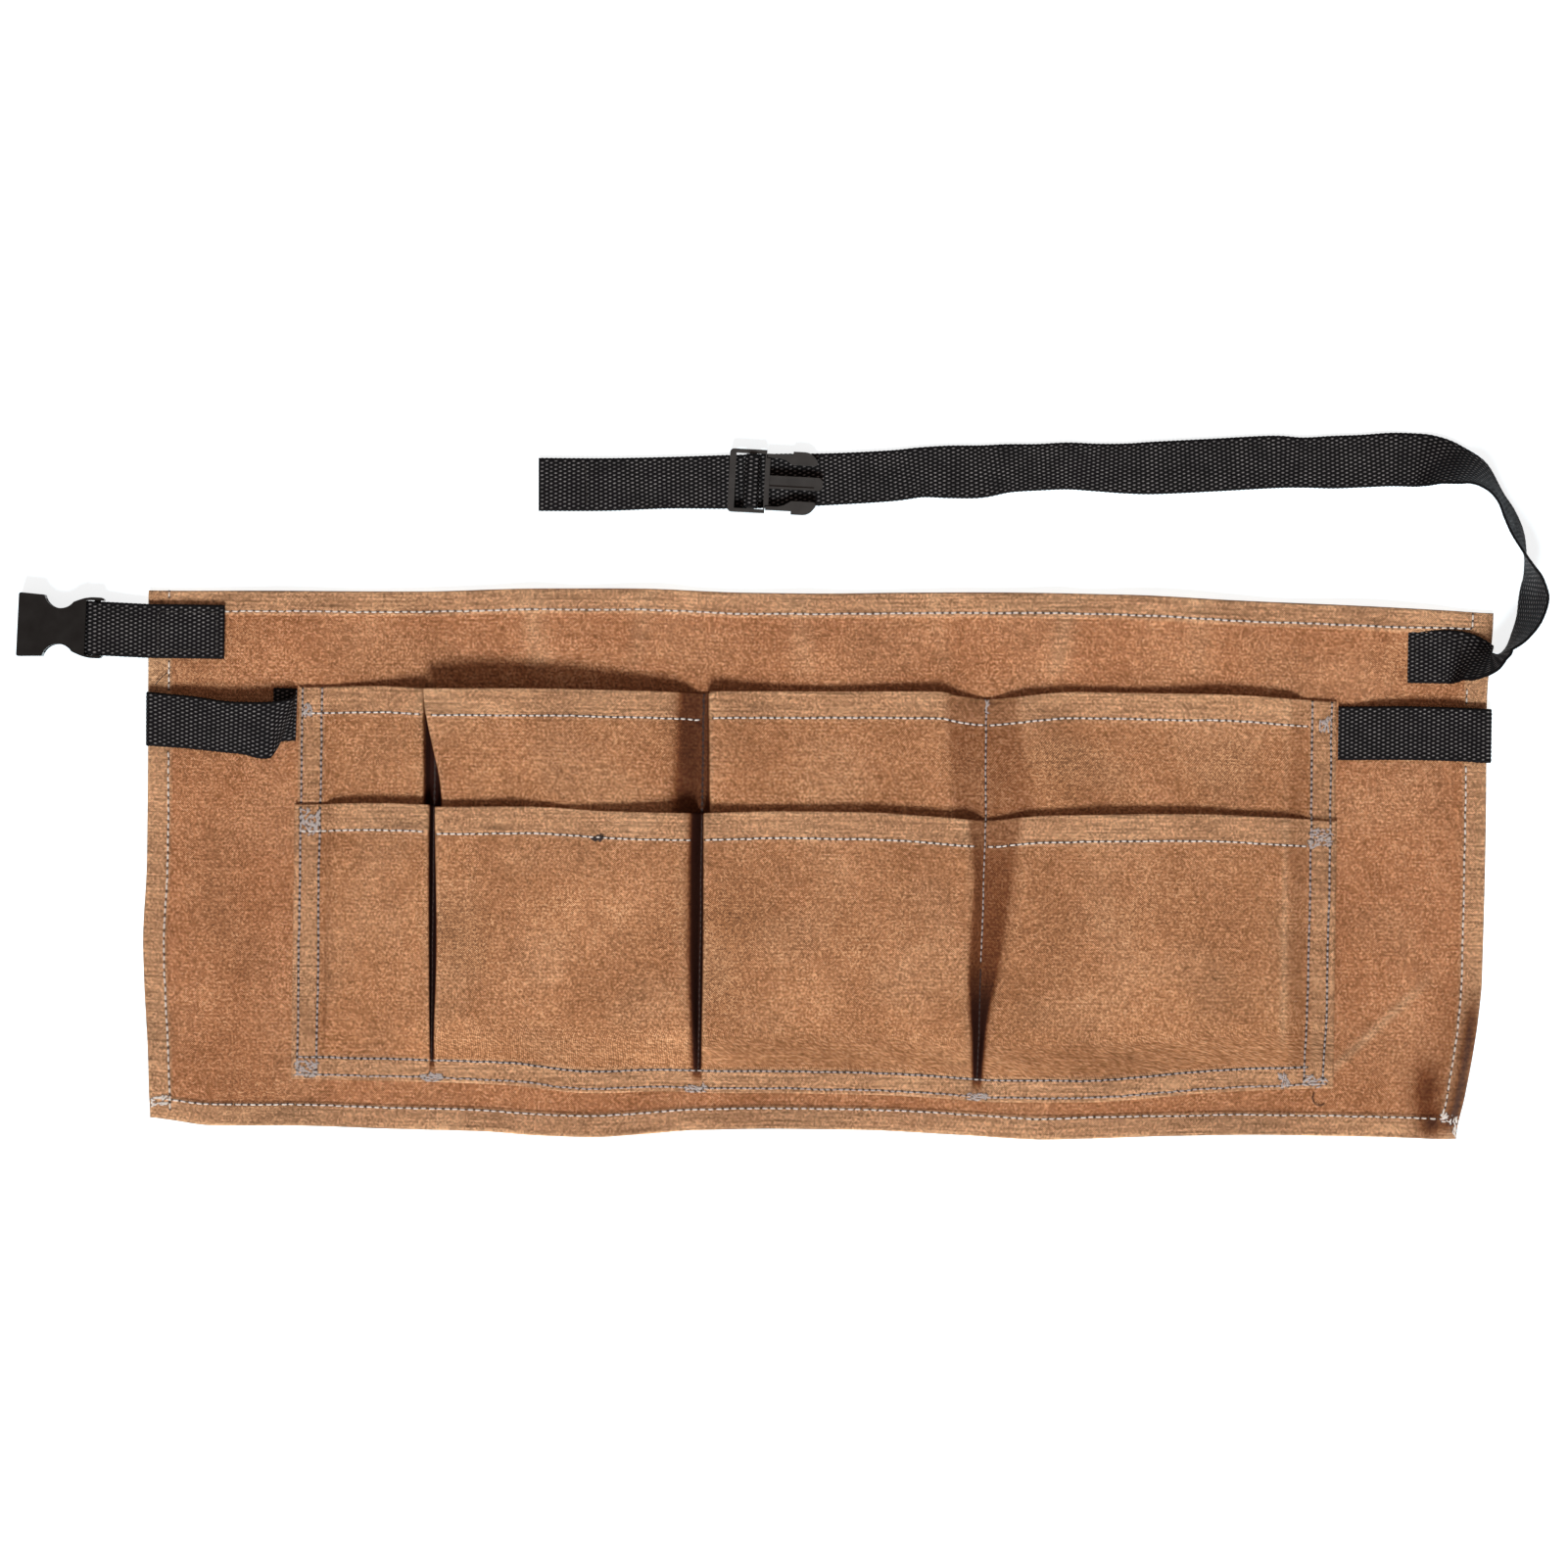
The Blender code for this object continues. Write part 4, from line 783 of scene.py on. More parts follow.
class Stitches:
    """Stitches that end up as one mesh."""

    def __init__(self, seed):
        self.random = np.random.default_rng(seed)
        self.points, self.quads, self.faces = [], [], []

    def take(self, made, face):
        points, quads = made
        offset = len(self.points)
        self.points += [tuple(p) for p in points]
        self.quads += [tuple(i + offset for i in quad) for quad in quads]
        self.faces += [face] * len(quads)

    def stitch(self, tree, a, b, radius, hole=0.5, below=False, flat=1.0, ceiling=99.0, face=THREAD_FACE):
        """One stitch between two places, left out where the cloth under it is steep or above the ceiling."""
        za, na = surface_at(tree, *a, below)
        zb, nb = surface_at(tree, *b, below)
        if za is None or zb is None or abs(za - zb) > 0.8 * math.dist(a, b) or max(za, zb) > ceiling:
            return
        normal = (na + nb).normalized()
        start, end = Vector((*a, za)), Vector((*b, zb))
        self.take(capsule(start, end, normal, radius, flat), face)
        if hole:
            self.take(needle_hole_shade(start, na, hole), DARK_FACE)
            self.take(needle_hole_shade(end, nb, hole), DARK_FACE)

    def row(self, tree, path, pitch=STITCH_PITCH, radius=0.42, hole=0.62, **looks):
        """Stitches along a path of (x, y), each a little out of line."""
        path = np.array(path, float)
        steps = np.concatenate([[0], np.cumsum(np.hypot(*np.diff(path, axis=0).T))])
        count = max(1, int(round(steps[-1] / pitch)))
        drift = 0.0
        for number in range(count):
            jitter = self.random.normal(0, STITCH_WANDER, 4)
            drift = 0.8 * drift + jitter[3] * 0.9
            s0 = steps[-1] * number / count + pitch * (1 - STITCH_SHARE) / 2 + jitter[0] * 0.8
            s1 = s0 + pitch * STITCH_SHARE + jitter[1] * 0.7
            a, b = (np.array([np.interp(s, steps, path[:, k]) for k in (0, 1)]) for s in (s0, s1))
            along = (b - a) / max(np.linalg.norm(b - a), 1e-6)
            side = np.array([-along[1], along[0]])
            a = a + side * (drift * 0.5 + jitter[2] * 0.3)
            b = b + side * (drift * 0.5 - jitter[2] * 0.3)
            self.stitch(tree, tuple(a), tuple(b), radius * self.random.uniform(0.85, 1.1), hole, **looks)

    def row_below(self, tree, path, pitch=STITCH_PITCH):
        """The same row on the cloth's underside, pulled in flatter."""
        self.row(tree, path, pitch, radius=0.2, hole=0.3, below=True, flat=0.6)

    def knot(self, tree, centre, width, height, count, radius=0.34, face=THREAD_FACE):
        """Back-tacked stitches crowded over one another."""
        for _ in range(count):
            x = centre[0] + self.random.uniform(-0.5, 0.5) * width
            y = centre[1] + self.random.uniform(-0.5, 0.5) * height
            angle = self.random.normal(math.pi / 2 if height > width else 0, 0.6)
            reach = self.random.uniform(0.9, 1.6)
            move = (math.cos(angle) * reach, math.sin(angle) * reach)
            self.stitch(tree, (x - move[0], y - move[1]), (x + move[0], y + move[1]), radius, 0.4, face=face)

    def tail(self, *points):
        """A loose, dirty end of thread through points."""
        points = [Vector(p) for p in points]
        for a, b in zip(points, points[1:]):
            self.take(capsule(a - (b - a) * 0.08, b + (b - a) * 0.08, Vector((0, 0, 1)), 0.22), DARK_FACE)

    def build(self, node_name, thread, slot, body="apron"):
        obj = make_mesh(f"{node_name}_thread", np.array(self.points), np.array(self.quads),
                        [thread, HOLE_SHADE_MATERIAL], face_materials=np.array(self.faces))
        return settle(obj, body, slot, node_name)


def panel_line(x0, y0, x1, y1, count=60):
    """A line on the flat panel, followed through its wavy outline."""
    t = np.linspace(0, 1, count)
    px, py = panel_warp(mix(x0, x1, t), mix(y0, y1, t))
    return np.stack([px, py], -1)


def build_hem_rows(panel):
    """The thread round the panel's hem, with its back-tacks and a loose end."""
    left, bottom = PANEL_LOW[:2] + STITCH_INSET
    right, top = PANEL_HIGH[:2] - STITCH_INSET
    tab_end = box_mm("buckle_tab_sewn_end")[1][0]
    patch_start = box_mm("strap_sewn_end")[0][0]
    hems = {
        "top": [(tab_end + 1, top, patch_start - 1, top + 0.6),
                (patch_start - 0.5, top + 0.8, right, top + 2.0)],
        "bottom": [(left - 6, bottom, right + 2, bottom)],
        "left": [(left, bottom - 5, left, 49), (left, 77, left, 90.5), (left, 119.5, left, 123)],
        "right": [(right, bottom + 2, right, 51), (right, 80, right, 88),
                  (right, top + 2, right, PANEL_HIGH[1] - 1)],
    }
    for number, (side, lines) in enumerate(hems.items()):
        rows = Stitches(100 + number)
        for line in lines:
            rows.row(panel, panel_line(*line))
            rows.row_below(panel, panel_line(*line))
        if side == "bottom":
            rows.knot(panel, (left - 3.5, bottom + 0.5), 7, 5, 22)
            rows.knot(panel, (293, -112), 7, 5, 24)
            rows.knot(panel, (297.5, -117), 3.5, 10, 26)
        if side == "left":
            rows.tail((-309.2, 80.2, 3.6), (-307.4, 82.3, 3.9), (-305.5, 84.4, 3.6), (-303.6, 85.9, 2.7))
        rows.build(f"panel_{side}_hem_stitching", PALE_THREAD, "pale_thread")


def build_mouth_rows(strip, cloth, mouth, hem, first_divider, seed):
    """The thread along the mouth hems of a strip's four pockets."""
    ends = [STRIP_LOW[0] + 1.5, first_divider, SEAM_2, 76.9, STRIP_HIGH[0] - 11.5]
    for pocket in range(4):
        rows = Stitches(seed + pocket)
        near = ends[pocket] + (0 if pocket == 0 else 1.2)
        xs = np.linspace(near, ends[pocket + 1] - 1.2, 90)
        rows.row(cloth, np.stack([xs, mouth(xs) - hem], -1), pitch=3.2, radius=0.44)
        if strip == "front" and pocket == 1:
            rows.knot(cloth, (-102, mouth(-102.0) - hem + 0.3), 5.5, 2.6, 16, face=DARK_FACE)
        rows.build(f"{strip}_mouth_stitching_{pocket + 1}", PALE_THREAD, "pale_thread")


def build_side_rows(panel, strips):
    """The double rows up the strips' sides, with back-tacks crowded where other seams meet them."""
    low, high = STRIP_LOW, STRIP_HIGH
    sides = {
        "left_side_outer": low[0] + 1.6, "left_side_inner": low[0] + 10.6,
        "right_side_outer": high[0] - 2.3, "right_side_inner": high[0] - 11.2,
    }
    for number, (side, x) in enumerate(sides.items()):
        rows = Stitches(300 + number)
        foot = float(BOTTOM_LINE(x)) + 2
        ys = np.linspace(foot, float(REAR_MOUTH(x)) - 0.4, 60)
        lean = Curve((-105, -1.8), (-60, -0.6), (0, 0), (90, 0))(ys) if x > 0 else 0 * ys
        path = np.stack([x + lean, ys], -1)
        rows.row(strips, path, pitch=2.8, radius=0.38, hole=0.66)
        rows.row_below(panel, path, 3.0)
        front_hem = float(FRONT_MOUTH(x)) - 8
        rear_hem = float(REAR_MOUTH(x)) - 11
        if side == "left_side_outer":
            rows.knot(strips, (x + 4.5, front_hem), 9, 12, 55)
            rows.knot(strips, (low[0] + 4, rear_hem), 4, 5, 16)
            rows.knot(strips, (x + 4.5, foot + 3), 10, 7, 40)
        if side == "right_side_inner":
            rows.knot(strips, (x + 4.5, front_hem - 1), 10, 9, 42)
            rows.knot(strips, (x + 6, rear_hem), 5, 6, 20)
            rows.knot(strips, (x + 4, foot + 1.5), 10, 5, 24)
            rows.knot(strips, (x - 11, foot + 2), 5, 6, 18)
        rows.build(f"{side}_stitching", GREY_THREAD, "grey_thread")


def build_bottom_rows(panel, strips):
    """The double rows along the strips' bottom."""
    for number, (row, inset, short) in enumerate((("lower", 2.1, 2.3), ("upper", 10.3, 11))):
        rows = Stitches(330 + number)
        xs = np.linspace(STRIP_LOW[0] + 1.5, STRIP_HIGH[0] - short, 200)
        path = np.stack([xs, BOTTOM_LINE(xs) + inset], -1)
        rows.row(strips, path, pitch=3.0, radius=0.4, hole=0.66)
        rows.row_below(panel, path, 3.2)
        if row == "lower":
            for x in (SEAM_1 + 1, SEAM_2 - 1, 75.0):
                rows.knot(strips, (x, float(BOTTOM_LINE(x)) + 2.2), 9, 3.4, 24)
            rows.tail((231.5, -101.5, 2.2), (230.6, -104.5, 1.8), (232.0, -107.0, 1.7), (234.5, -107.8, 1.7),
                      (236.5, -106.6, 1.7))
        rows.build(f"bottom_{row}_stitching", GREY_THREAD, "grey_thread")


def build_divider_rows(panel, strips):
    """The three rows that part the pockets. Only the sewn-down cloth takes their stitches."""
    for number, (bottom_at, mouth_at) in enumerate(((SEAM_1, SEAM_1), (SEAM_2, SEAM_2), (75.0, 76.8))):
        last = number == 2
        rows = Stitches(350 + number)
        ys = np.linspace(float(BOTTOM_LINE(bottom_at)) + 11, float(REAR_MOUTH(mouth_at)) - 0.5, 60)
        line = np.stack([SEAM_3(ys) if last else bottom_at + 0 * ys, ys], -1)
        # Painted shade: the lower stitches of the third seam take the needle holes' dark, and the first two
        # seams take shaded thread, as they lie deep in shade.
        shaded = line[ys < -46] if last else line[:0]
        if last:
            rows.row(strips, shaded, 3.0, 0.34, 0.6, ceiling=5.2, face=DARK_FACE)
        rows.row(strips, line[len(shaded):], 3.0, 0.34, 0.6, ceiling=5.2)
        rows.row_below(panel, line, 3.0)
        if last:
            rows.knot(strips, (float(line[-1, 0]), float(ys[-1]) - 3), 1.4, 6, 6, 0.3)
        rows.build(f"divider_stitching_{number + 1}", GREY_THREAD if last else SHADED_THREAD, "grey_thread")


def build_stitching():
    """All the thread through the panel and its pocket strips."""
    panel = tree_of("panel_cloth")
    rear = tree_of("panel_cloth", "rear_strip_cloth")
    strips = tree_of("panel_cloth", "rear_strip_cloth", "front_strip_cloth")
    build_hem_rows(panel)
    build_mouth_rows("rear", rear, REAR_MOUTH, REAR_HEM, -184.6, 210)
    build_mouth_rows("front", strips, FRONT_MOUTH, FRONT_HEM, SEAM_1, 200)
    build_side_rows(panel, strips)
    build_bottom_rows(panel, strips)
    build_divider_rows(panel, strips)


# ---------------------------------------------------------------- webbing

def smooth_path(knots, spacing):
    """Knots resampled evenly along a smooth path through their first three numbers; the rest go along."""
    knots = np.array(knots, float)
    padded = np.vstack([2 * knots[0] - knots[1], knots, 2 * knots[-1] - knots[-2]])
    fine = []
    for before, start, end, after in zip(padded, padded[1:], padded[2:], padded[3:]):
        t = np.linspace(0, 1, 40, endpoint=False)[:, None]
        square = 2 * before - 5 * start + 4 * end - after
        cube = 3 * start - before - 3 * end + after
        fine.append(0.5 * (2 * start + (end - before) * t + square * t ** 2 + cube * t ** 3))
    fine = np.vstack([*fine, knots[-1:]])
    steps = np.concatenate([[0], np.cumsum(np.linalg.norm(np.diff(fine[:, :3], axis=0), axis=1))])
    count = max(3, int(steps[-1] / spacing) + 1)
    places = np.linspace(0, steps[-1], count)
    return np.stack([np.interp(places, steps, fine[:, k]) for k in range(fine.shape[1])], -1), places


def webbing(name, low_edge, high_edge, seed, length_start=0.0, cut_ends=(True, True),
            thickness=WEBBING_THICKNESS):
    """Woven webbing between two edge lines of equal count, its yarn standing up in staggered rows."""
    share = np.linspace(0, 1, ACROSS)
    grid = low_edge[:, None, :] + (high_edge - low_edge)[:, None, :] * share[None, :, None]
    middle = (low_edge + high_edge) / 2
    places = length_start + np.concatenate([[0], np.cumsum(np.linalg.norm(np.diff(middle, axis=0), axis=1))])
    along = np.gradient(grid, axis=0)
    across = np.gradient(grid, axis=1)
    normal = np.cross(along, across)
    normal /= np.maximum(np.linalg.norm(normal, axis=-1, keepdims=True), 1e-9)
    s = places[:, None] + 0.0 * share[None, :]
    w = share[None, :] * WEBBING_WIDTH + 0.0 * s
    wobble = 0.25 * ripples(s, w, 9, seed) + 0.12 * ripples(s, w, 3, seed + 1)
    weave = np.cos(math.pi * (w * RIBS / WEBBING_WIDTH + 0.5)) * np.cos(math.pi * (s + wobble * 0.5) / PICK)
    sag = 1 + 0.25 * ripples(s, w, 14, seed + 2)
    bumps = 0.15 * weave * sag
    from_edge = np.minimum(w, WEBBING_WIDTH - w)
    keep = round_edge(from_edge, 0.9, 0.35)
    ends = np.full_like(s, 9.0)
    if cut_ends[0]:
        ends = np.minimum(ends, s - places[0])
    if cut_ends[1]:
        ends = np.minimum(ends, places[-1] - s)
    keep = keep * round_edge(ends, 0.5, 0.5)
    half = thickness / 2
    selvage = smooth((from_edge - 0.3) / 1.2)
    outer = grid + normal * ((half + bumps * selvage) * keep)[..., None]
    inner = grid - normal * ((half - bumps * selvage) * keep)[..., None]
    stagger = 0.10 * np.cos(2 * math.pi * s / PICK) * (1 - selvage)
    direction = np.where(share < 0.5, -1.0, 1.0)[None, :, None]
    edge_way = across / np.maximum(np.linalg.norm(across, axis=-1, keepdims=True), 1e-9)
    outer = outer + edge_way * direction * stagger[..., None]
    inner = inner + edge_way * direction * stagger[..., None]
    # Where the yarn stands highest, which the material paints with a shine.
    lift = np.clip(weave, 0, 1) * np.abs(np.cos(math.pi * s / PICK)) * selvage
    # Columns run across the webbing, so the grid is turned to keep its outer face outwards.
    outer, inner = (np.swapaxes(face, 0, 1) for face in (outer, inner))
    obj = shell(name, outer, inner, WEBBING, (s.T, w.T), lift.T, 0 * lift.T)
    return obj, places[-1]


def rolled_edges(path):
    """The two edges of webbing whose centre line also carries its roll in degrees and its width."""
    centre = path[:, :3]
    forward = np.gradient(centre, axis=0)
    forward /= np.linalg.norm(forward, axis=1, keepdims=True)
    side = np.cross([0, 0, 1.0], forward)
    side /= np.maximum(np.linalg.norm(side, axis=1, keepdims=True), 1e-9)
    up = np.cross(forward, side)
    roll = np.radians(path[:, 3])[:, None]
    arm = (side * np.cos(roll) - up * np.sin(roll)) * path[:, 4:5] / 2
    return centre - arm, centre + arm


def side_edges(path):
    """Edges of webbing that bends only up and down, its centre line running along X."""
    arm = np.array([0, WEBBING_WIDTH / 2, 0])
    return path[:, :3] - arm, path[:, :3] + arm


def upright(roll):
    """Height of rolled webbing's centre above the table."""
    lift = abs(math.sin(math.radians(roll))) * WEBBING_WIDTH / 2
    return 0.35 + lift + abs(math.cos(math.radians(roll))) * WEBBING_THICKNESS / 2


def settle_blended(obj, body, next_body, start, end, *nodes):
    """The webbing stands for its CAD nodes, its mesh baked where it lies. The bodies and the two places it is
    given are not used.
    """
    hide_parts(*nodes)
    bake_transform(obj)


# Stations of the strap where it stands on edge, as (x, y, roll), and where it lies flat, as (x, y, width).
STRAP_ON_EDGE = (
    (317.2, 104.5, 89), (322.6, 110.9, 78), (327.2, 119.6, 68), (329.2, 129.4, 63), (328.8, 137.0, 74),
    (326.8, 143.4, 87), (324.8, 148.8, 96), (321.2, 158.8, 108), (317.3, 167.5, 109), (313.2, 175.0, 105),
    (308.4, 181.2, 110), (300.8, 187.2, 127), (290.4, 190.6, 144), (281.0, 192.2, 165),
)
STRAP_FLAT = (
    (263, 192.8, 24.9), (250, 191.9, 24.5), (236, 191.2, 24.5), (222, 190.8, 23.4), (208, 190.9, 24.5),
    (181, 189.1, 24.6), (154, 187.4, 24.5), (140, 186.9, 23.3), (126, 187.2, 22.2), (113, 187.7, 21.9),
    (99, 186.9, 21.7), (85, 186.2, 22.6), (72, 184.5, 24.5), (58, 184.2, 24.5), (45, 183.8, 23.3),
    (31, 182.0, 23.7), (4, 180.1, 24.1), (-22, 179.0, 25.0), (-45, 178.1, 25.0), (-73, 177.3, 24.0),
    (-101, 176.1, 24.5), (box_mm("strap_run")[0][0] + 0.5, 175.7, 24.7),
)


def build_strap():
    """The waist strap: a sewn patch, a turn that stands on edge round the corner, and a long flat run."""
    x, y = box_mm("strap_sewn_end")[0][:2] + (0, WEBBING_WIDTH / 2)
    z = OVER_HEM + 0.5 + WEBBING_THICKNESS / 2
    on_panel = (
        (x, y, z, 0), (x + 12, y, z, 0), (x + 18, y, z + 0.1, 1), (x + 23, y - 0.3, z + 1.7, 8),
        (x + 28, y - 1.2, z + 5.0, 24), (x + 33, y - 2.4, 11.2, 43), (x + 37.4, y - 2.0, 13.4, 63),
        (x + 41.4, y + 0.2, 13.6, 80),
    )
    stations = [(*place, WEBBING_WIDTH) for place in on_panel]
    stations += [(x, y, upright(roll), roll, WEBBING_WIDTH) for x, y, roll in STRAP_ON_EDGE]
    stations.append((274.0, 192.7, 1.0, 177, WEBBING_WIDTH))
    stations += [(x, y, 0.95, 180, width) for x, y, width in STRAP_FLAT]
    path, _ = smooth_path(stations, 0.5)
    low, high = rolled_edges(path)
    # The two pieces meet on the turn, where the strap stands farthest out.
    turn = stations[len(on_panel) + 3][:3]
    meet = int(np.argmin(np.linalg.norm(path[:, :3] - turn, axis=1)))
    patch, length = webbing("strap_patch_webbing", low[:meet + 1], high[:meet + 1], 61, 0.0, (True, False))
    settle_blended(patch, "apron", "strap_turn", (0.3125, 0.099, 0.012), (0.3270, 0.1150, 0.012),
                   "strap_sewn_end", "strap_turn")
    run, _ = webbing("strap_run_webbing", low[meet:], high[meet:], 71, length, (False, True))
    settle_blended(run, "strap_turn", "strap_run", (0.3215, 0.1640, 0.012), (0.3060, 0.1835, 0.012),
                   "strap_run")


def build_tab():
    """The buckle tab: webbing from its sewn end round the female buckle's bar and back over itself."""
    sewn_low, sewn_high = box_mm("buckle_tab_sewn_end")
    joints = {joint["name"]: joint for joint in frame["joints"]}
    bar, fold = (np.array(joints[name]["pos_m"]) / MM for name in ("socket_pivot", "tab_fold"))
    reach = sewn_high[0]
    centre_y = (sewn_low[1] + sewn_high[1]) / 2 - 0.2
    lower = OVER_HEM + 0.4 + WEBBING_THICKNESS / 2
    upper = lower + WEBBING_THICKNESS + 0.1
    section = [(reach, lower), (reach - 12, lower), (fold[0] + 2, lower), (fold[0] - 6, lower + 0.1),
               (bar[0] + 6.5, bar[2] - 1.0)]
    for angle in np.radians(range(-60, -301, -20)):
        section.append((bar[0] - 1.2 + 3.8 * math.cos(angle), bar[2] + 2.55 * math.sin(angle)))
    section += [(bar[0] + 6.5, bar[2] + 0.9), (fold[0] - 6, upper + 0.35), (fold[0] + 2, upper),
                (reach - 12, upper), (reach, upper)]
    skew = math.tan(math.radians(-2.0))
    path, _ = smooth_path([(x, centre_y + min(0.0, x - fold[0]) * skew, z) for x, z in section], WEBBING_STEP)
    made, _ = webbing("buckle_tab_webbing", *side_edges(path), 81)
    settle_blended(made, "apron", "buckle_tab", (-0.3105, 0.1053, 0.0036), (-0.3165, 0.1053, 0.0036),
                   "buckle_tab_sewn_end", "buckle_tab_loop")


LOOP_BASE = OVER_HEM + 0.4 + WEBBING_THICKNESS / 2
LOOP_FLAT = FLAT + 0.75 + WEBBING_THICKNESS / 2


def edge_knots(height, *stations):
    """Knots of webbing's two edges, from x, y and rise above a height for one and then the other."""
    return [((x0, y0, height + z0), (x1, y1, height + z1)) for x0, y0, z0, x1, y1, z1 in stations]


def edge_paths(knots, low_step=WEBBING_STEP, high_step=WEBBING_STEP):
    """Both edges resampled, each at its own step."""
    low, _ = smooth_path([low for low, _ in knots], low_step)
    high, _ = smooth_path([high for _, high in knots], high_step)
    return low, high


def build_left_loop():
    """The left tool loop has slumped, so its sewn end shows beside it."""
    edge = PANEL_LOW[0] - 1.6
    knots = edge_knots(
        LOOP_BASE,
        (edge + 7, 51.8, -0.1, edge + 7, 76.4, -0.1), (edge + 1.2, 51.8, -0.3, edge + 1.0, 76.8, -0.3),
        (edge + 0.2, 51.8, 1.0, edge, 76.8, 1.0), (edge + 1.4, 51.8, 2.3, edge + 1.2, 76.8, 2.4),
        (-305, 51.4, 2.7, -305, 76.2, 2.7), (-292, 50.6, 3.4, -292, 75.2, 3.6),
        (-277, 49.2, 4.4, -277, 73.2, 5.0), (-268, 48.4, 4.8, -266, 72.8, 5.8),
        (-260, 46.6, 5.8, -256, 73.0, 7.0), (-255.4, 46.8, 4.8, -249, 74.0, 6.0),
        (-253.8, 48.4, 3.4, -245.6, 75.0, 4.6), (-252.2, 51.5, 1.8, -244.4, 76.6, 3.2),
    ) + edge_knots(LOOP_FLAT, (-250.6, 54.4, 0.5, -244.2, 78.4, 1.2), (-246.0, 54.9, 0, -243.8, 79.0, 0.2))
    low, high = edge_paths(knots)
    # The shorter edge is cut finer, so both edges have as many points.
    steps = [WEBBING_STEP * len(edge) / max(len(low), len(high)) * 0.999 for edge in (low, high)]
    most = max(len(low), len(high))
    low, high = edge_paths(knots, *steps)
    count = min(len(low), len(high), most)
    made, _ = webbing("left_loop_webbing", low[:count], high[:count], 91)
    settle(made, "apron", "webbing", "left_tool_loop")
    low, high = edge_paths(edge_knots(
        LOOP_FLAT, (-254.6, 55.2, 0, -254.2, 79.6, 0), (-248, 55.1, 0, -248, 79.5, 0),
        (-243.2, 55.0, 0, -243.2, 79.4, 0),
    ))
    count = min(len(low), len(high))
    made, _ = webbing("left_loop_sewn_end", low[:count], high[:count], 93, thickness=1.1)
    settle(made, "apron", "webbing")


def build_right_loop():
    """The right tool loop lies flat and goes round the panel's edge."""
    edge = PANEL_HIGH[0] - 0.4
    rises = ((268, 65.8, 2.0), (280, 65.8, 2.4), (292, 65.6, 2.3), (303, 65.3, 2.1), (308, 65.1, 2.0),
             (edge - 0.6, 65.0, 1.9), (edge, 65.0, 0.9), (edge - 1.0, 65.0, -0.1), (edge - 7, 65.0, -0.1))
    knots = [(240.2, 65.4, LOOP_FLAT), (246, 65.4, LOOP_FLAT), (250, 65.5, LOOP_FLAT + 0.6),
             (256, 65.6, LOOP_FLAT + 1.6)]
    knots += [(x, y, LOOP_BASE + rise) for x, y, rise in rises]
    path, _ = smooth_path(knots, WEBBING_STEP)
    made, _ = webbing("right_loop_webbing", *side_edges(path), 95)
    settle(made, "apron", "webbing", "right_tool_loop")


def box_path(x0, x1, y0, y1):
    """Once round a box of stitching."""
    return [(x0, y0), (x0, y1), (x1, y1), (x1, y0), (x0, y0)]


def build_webbing_stitching():
    """Black thread through the webbing ends."""
    patch_x, patch_y, _ = box_mm("strap_sewn_end")[0]
    tab_low, tab_high = box_mm("buckle_tab_sewn_end")
    tail_x = box_mm("strap_run")[0][0] + 22.6
    plans = (
        (400, "strap_end_box_stitching", "strap_patch_webbing", "apron",
         box_path(patch_x + 3.5, patch_x + 25, patch_y + 3.5, patch_y + 21)),
        (401, "buckle_tab_box_stitching", "buckle_tab_webbing", "apron",
         box_path(tab_high[0] - 3.5, tab_low[0] + 4, tab_low[1] + 3.5, tab_high[1] - 3.5)),
        (410, "strap_tail_stitching", "strap_run_webbing", "strap_run",
         [(tail_x + 0.4, 166.5), (tail_x - 0.5, 186.5)]),
    )
    for seed, name, cloth, body, path in plans:
        rows = Stitches(seed)
        rows.row(tree_of(cloth), path, pitch=3.0, radius=0.32, hole=0)
        rows.build(name, DARK_THREAD, "black_thread", body)


def build_bar_webbing():
    """The strap's rise over the male buckle's centre bar."""
    low, high = box_mm("webbing_over_bar")
    half = 2.65
    top = high[2] - WEBBING_THICKNESS / 2 + 0.1
    foot = low[2] + 0.35
    rise = [(-half - 0.2, foot), (-half, (foot + top) / 2), (-half + 0.5, top - 0.7), (-half + 1.6, top)]
    section = rise + [(0, top + 0.1)] + [(-x, z) for x, z in rise[::-1]]
    path, _ = smooth_path([(x, 0, z) for x, z in section], 0.3)
    yaw = math.radians(-2.2)
    turn = np.array([[math.cos(yaw), -math.sin(yaw), 0], [math.sin(yaw), math.cos(yaw), 0], [0, 0, 1]])
    shift = (low + high) / 2 * (1, 1, 0)
    low_edge, high_edge = (edge @ turn.T + shift for edge in side_edges(path))
    made, _ = webbing("bar_webbing", low_edge, high_edge, 97, cut_ends=(False, False))
    settle(made, "male_buckle", "webbing", "webbing_over_bar")


def finish_plastic():
    """The buckle's mouldings keep their CAD shape and take moulded plastic."""
    for name in ("buckle_socket", "male_buckle_frame", "upper_release_arm", "lower_release_arm"):
        moulding = frame["nodes"][name]
        moulding.data.materials.clear()
        moulding.data.materials.append(SOCKET_PLASTIC if name == "buckle_socket" else SLIDE_PLASTIC)


# ---------------------------------------------------------------- stage

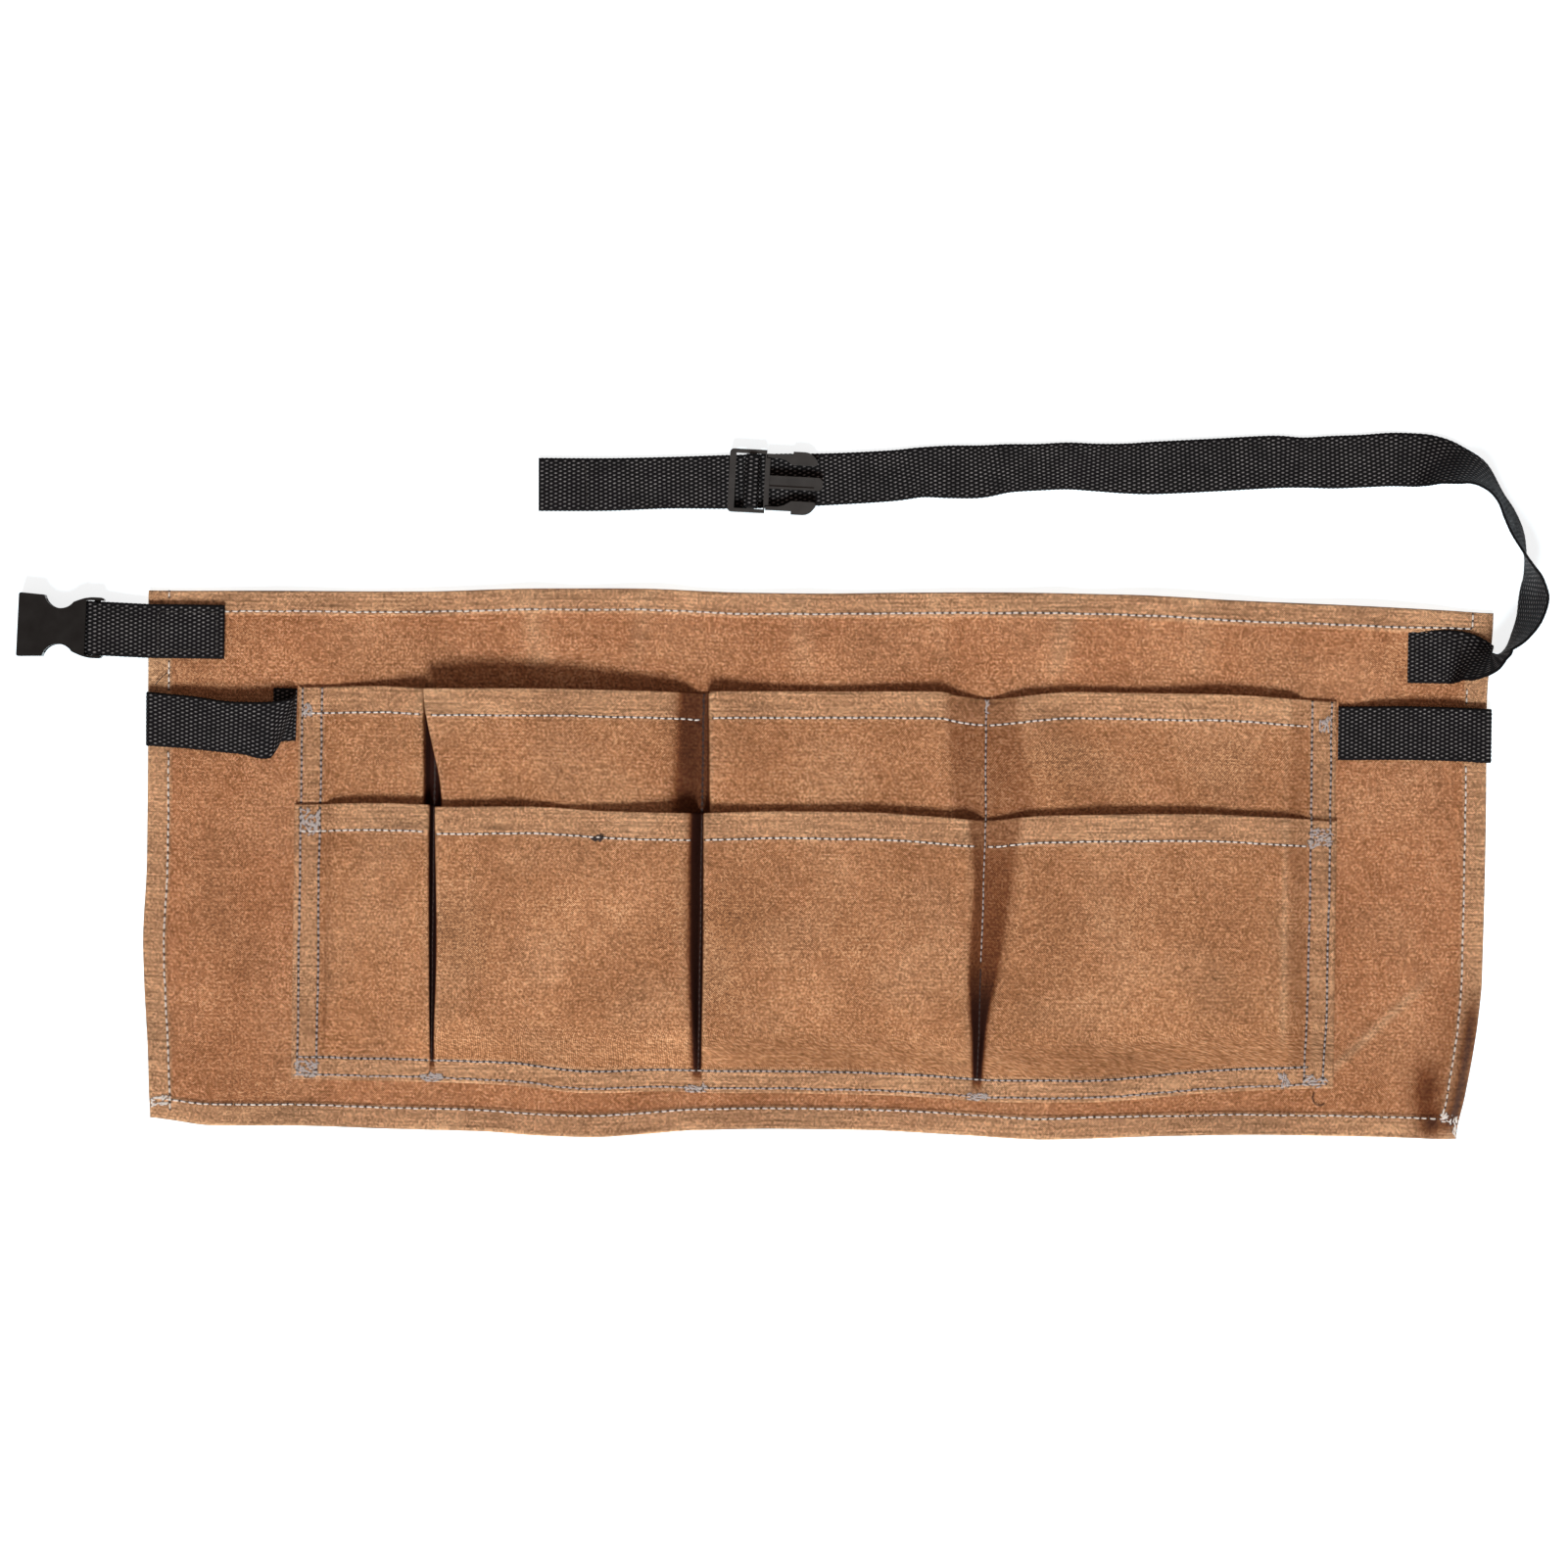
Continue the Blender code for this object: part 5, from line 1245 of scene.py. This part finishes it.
def build_floor():
    """A pale, matt table that glows a little, so the shadows on it stay pale."""
    bpy.ops.mesh.primitive_plane_add(size=8.0, location=(0, 0, -0.0004))
    floor = bpy.context.object
    floor.name = "floor"
    material, _, shader = start_material("pale_floor")
    looks = {
        "Base Color": (0.60, 0.83, 0.97, 1), "Roughness": 0.95, "Specular IOR Level": 0.0,
        "Emission Color": (1, 1, 1, 1), "Emission Strength": 0.77,
    }
    for key, value in looks.items():
        shader.inputs[key].default_value = value
    floor.data.materials.append(material)


def build_lights():
    """A broad sun from beyond the apron's bottom edge, and a warm fill that stays white to the camera."""
    key = bpy.data.lights.new("key", "SUN")
    key.energy = 3.65
    key.angle = math.radians(19)
    key.color = (1.0, 0.985, 0.96)
    add_object("key", key).rotation_euler = Vector((-0.08, -1.0, 1.0)).to_track_quat("Z", "Y").to_euler()
    world = bpy.data.worlds.new("studio")
    bpy.context.scene.world = world
    world.use_nodes = True
    tree = world.node_tree
    background = tree.nodes["Background"]
    ray = node(tree, "ShaderNodeLightPath").outputs["Is Camera Ray"]
    strength = node(tree, "ShaderNodeMapRange", {"Value": ray, "To Min": 0.28, "To Max": 0.95})
    tint = blend_colour(tree, ray, (1.0, 0.72, 0.62), (1.0, 1.0, 1.0))
    tree.links.new(tint, background.inputs["Color"])
    tree.links.new(strength.outputs[0], background.inputs["Strength"])
    bpy.context.scene.view_settings.view_transform = "Standard"


def build_camera():
    """Straight down from far off, turned by a small angle against the apron."""
    data = bpy.data.cameras.new("camera")
    camera = add_object("camera", data)
    data.sensor_width = 36.0
    data.lens = data.sensor_width * CAMERA_DISTANCE / CAMERA_FIELD
    data.clip_end = 20.0
    camera.location = (-0.0167, 0.0382, CAMERA_DISTANCE)
    camera.rotation_euler = (0, 0, CAMERA_TURN)
    bpy.context.scene.camera = camera


build_panel()
build_strip(False, REAR_POCKETS, REAR_MOUTH, REAR_HEM, sewn=1.75, foot=2.6, seed=41)
build_strip(True, FRONT_POCKETS, FRONT_MOUTH, FRONT_HEM, sewn=3.0, foot=0.9, seed=51)
build_stitching()
build_left_loop()
build_right_loop()
build_tab()
build_strap()
build_bar_webbing()
build_webbing_stitching()
finish_plastic()
build_floor()
build_lights()
build_camera()
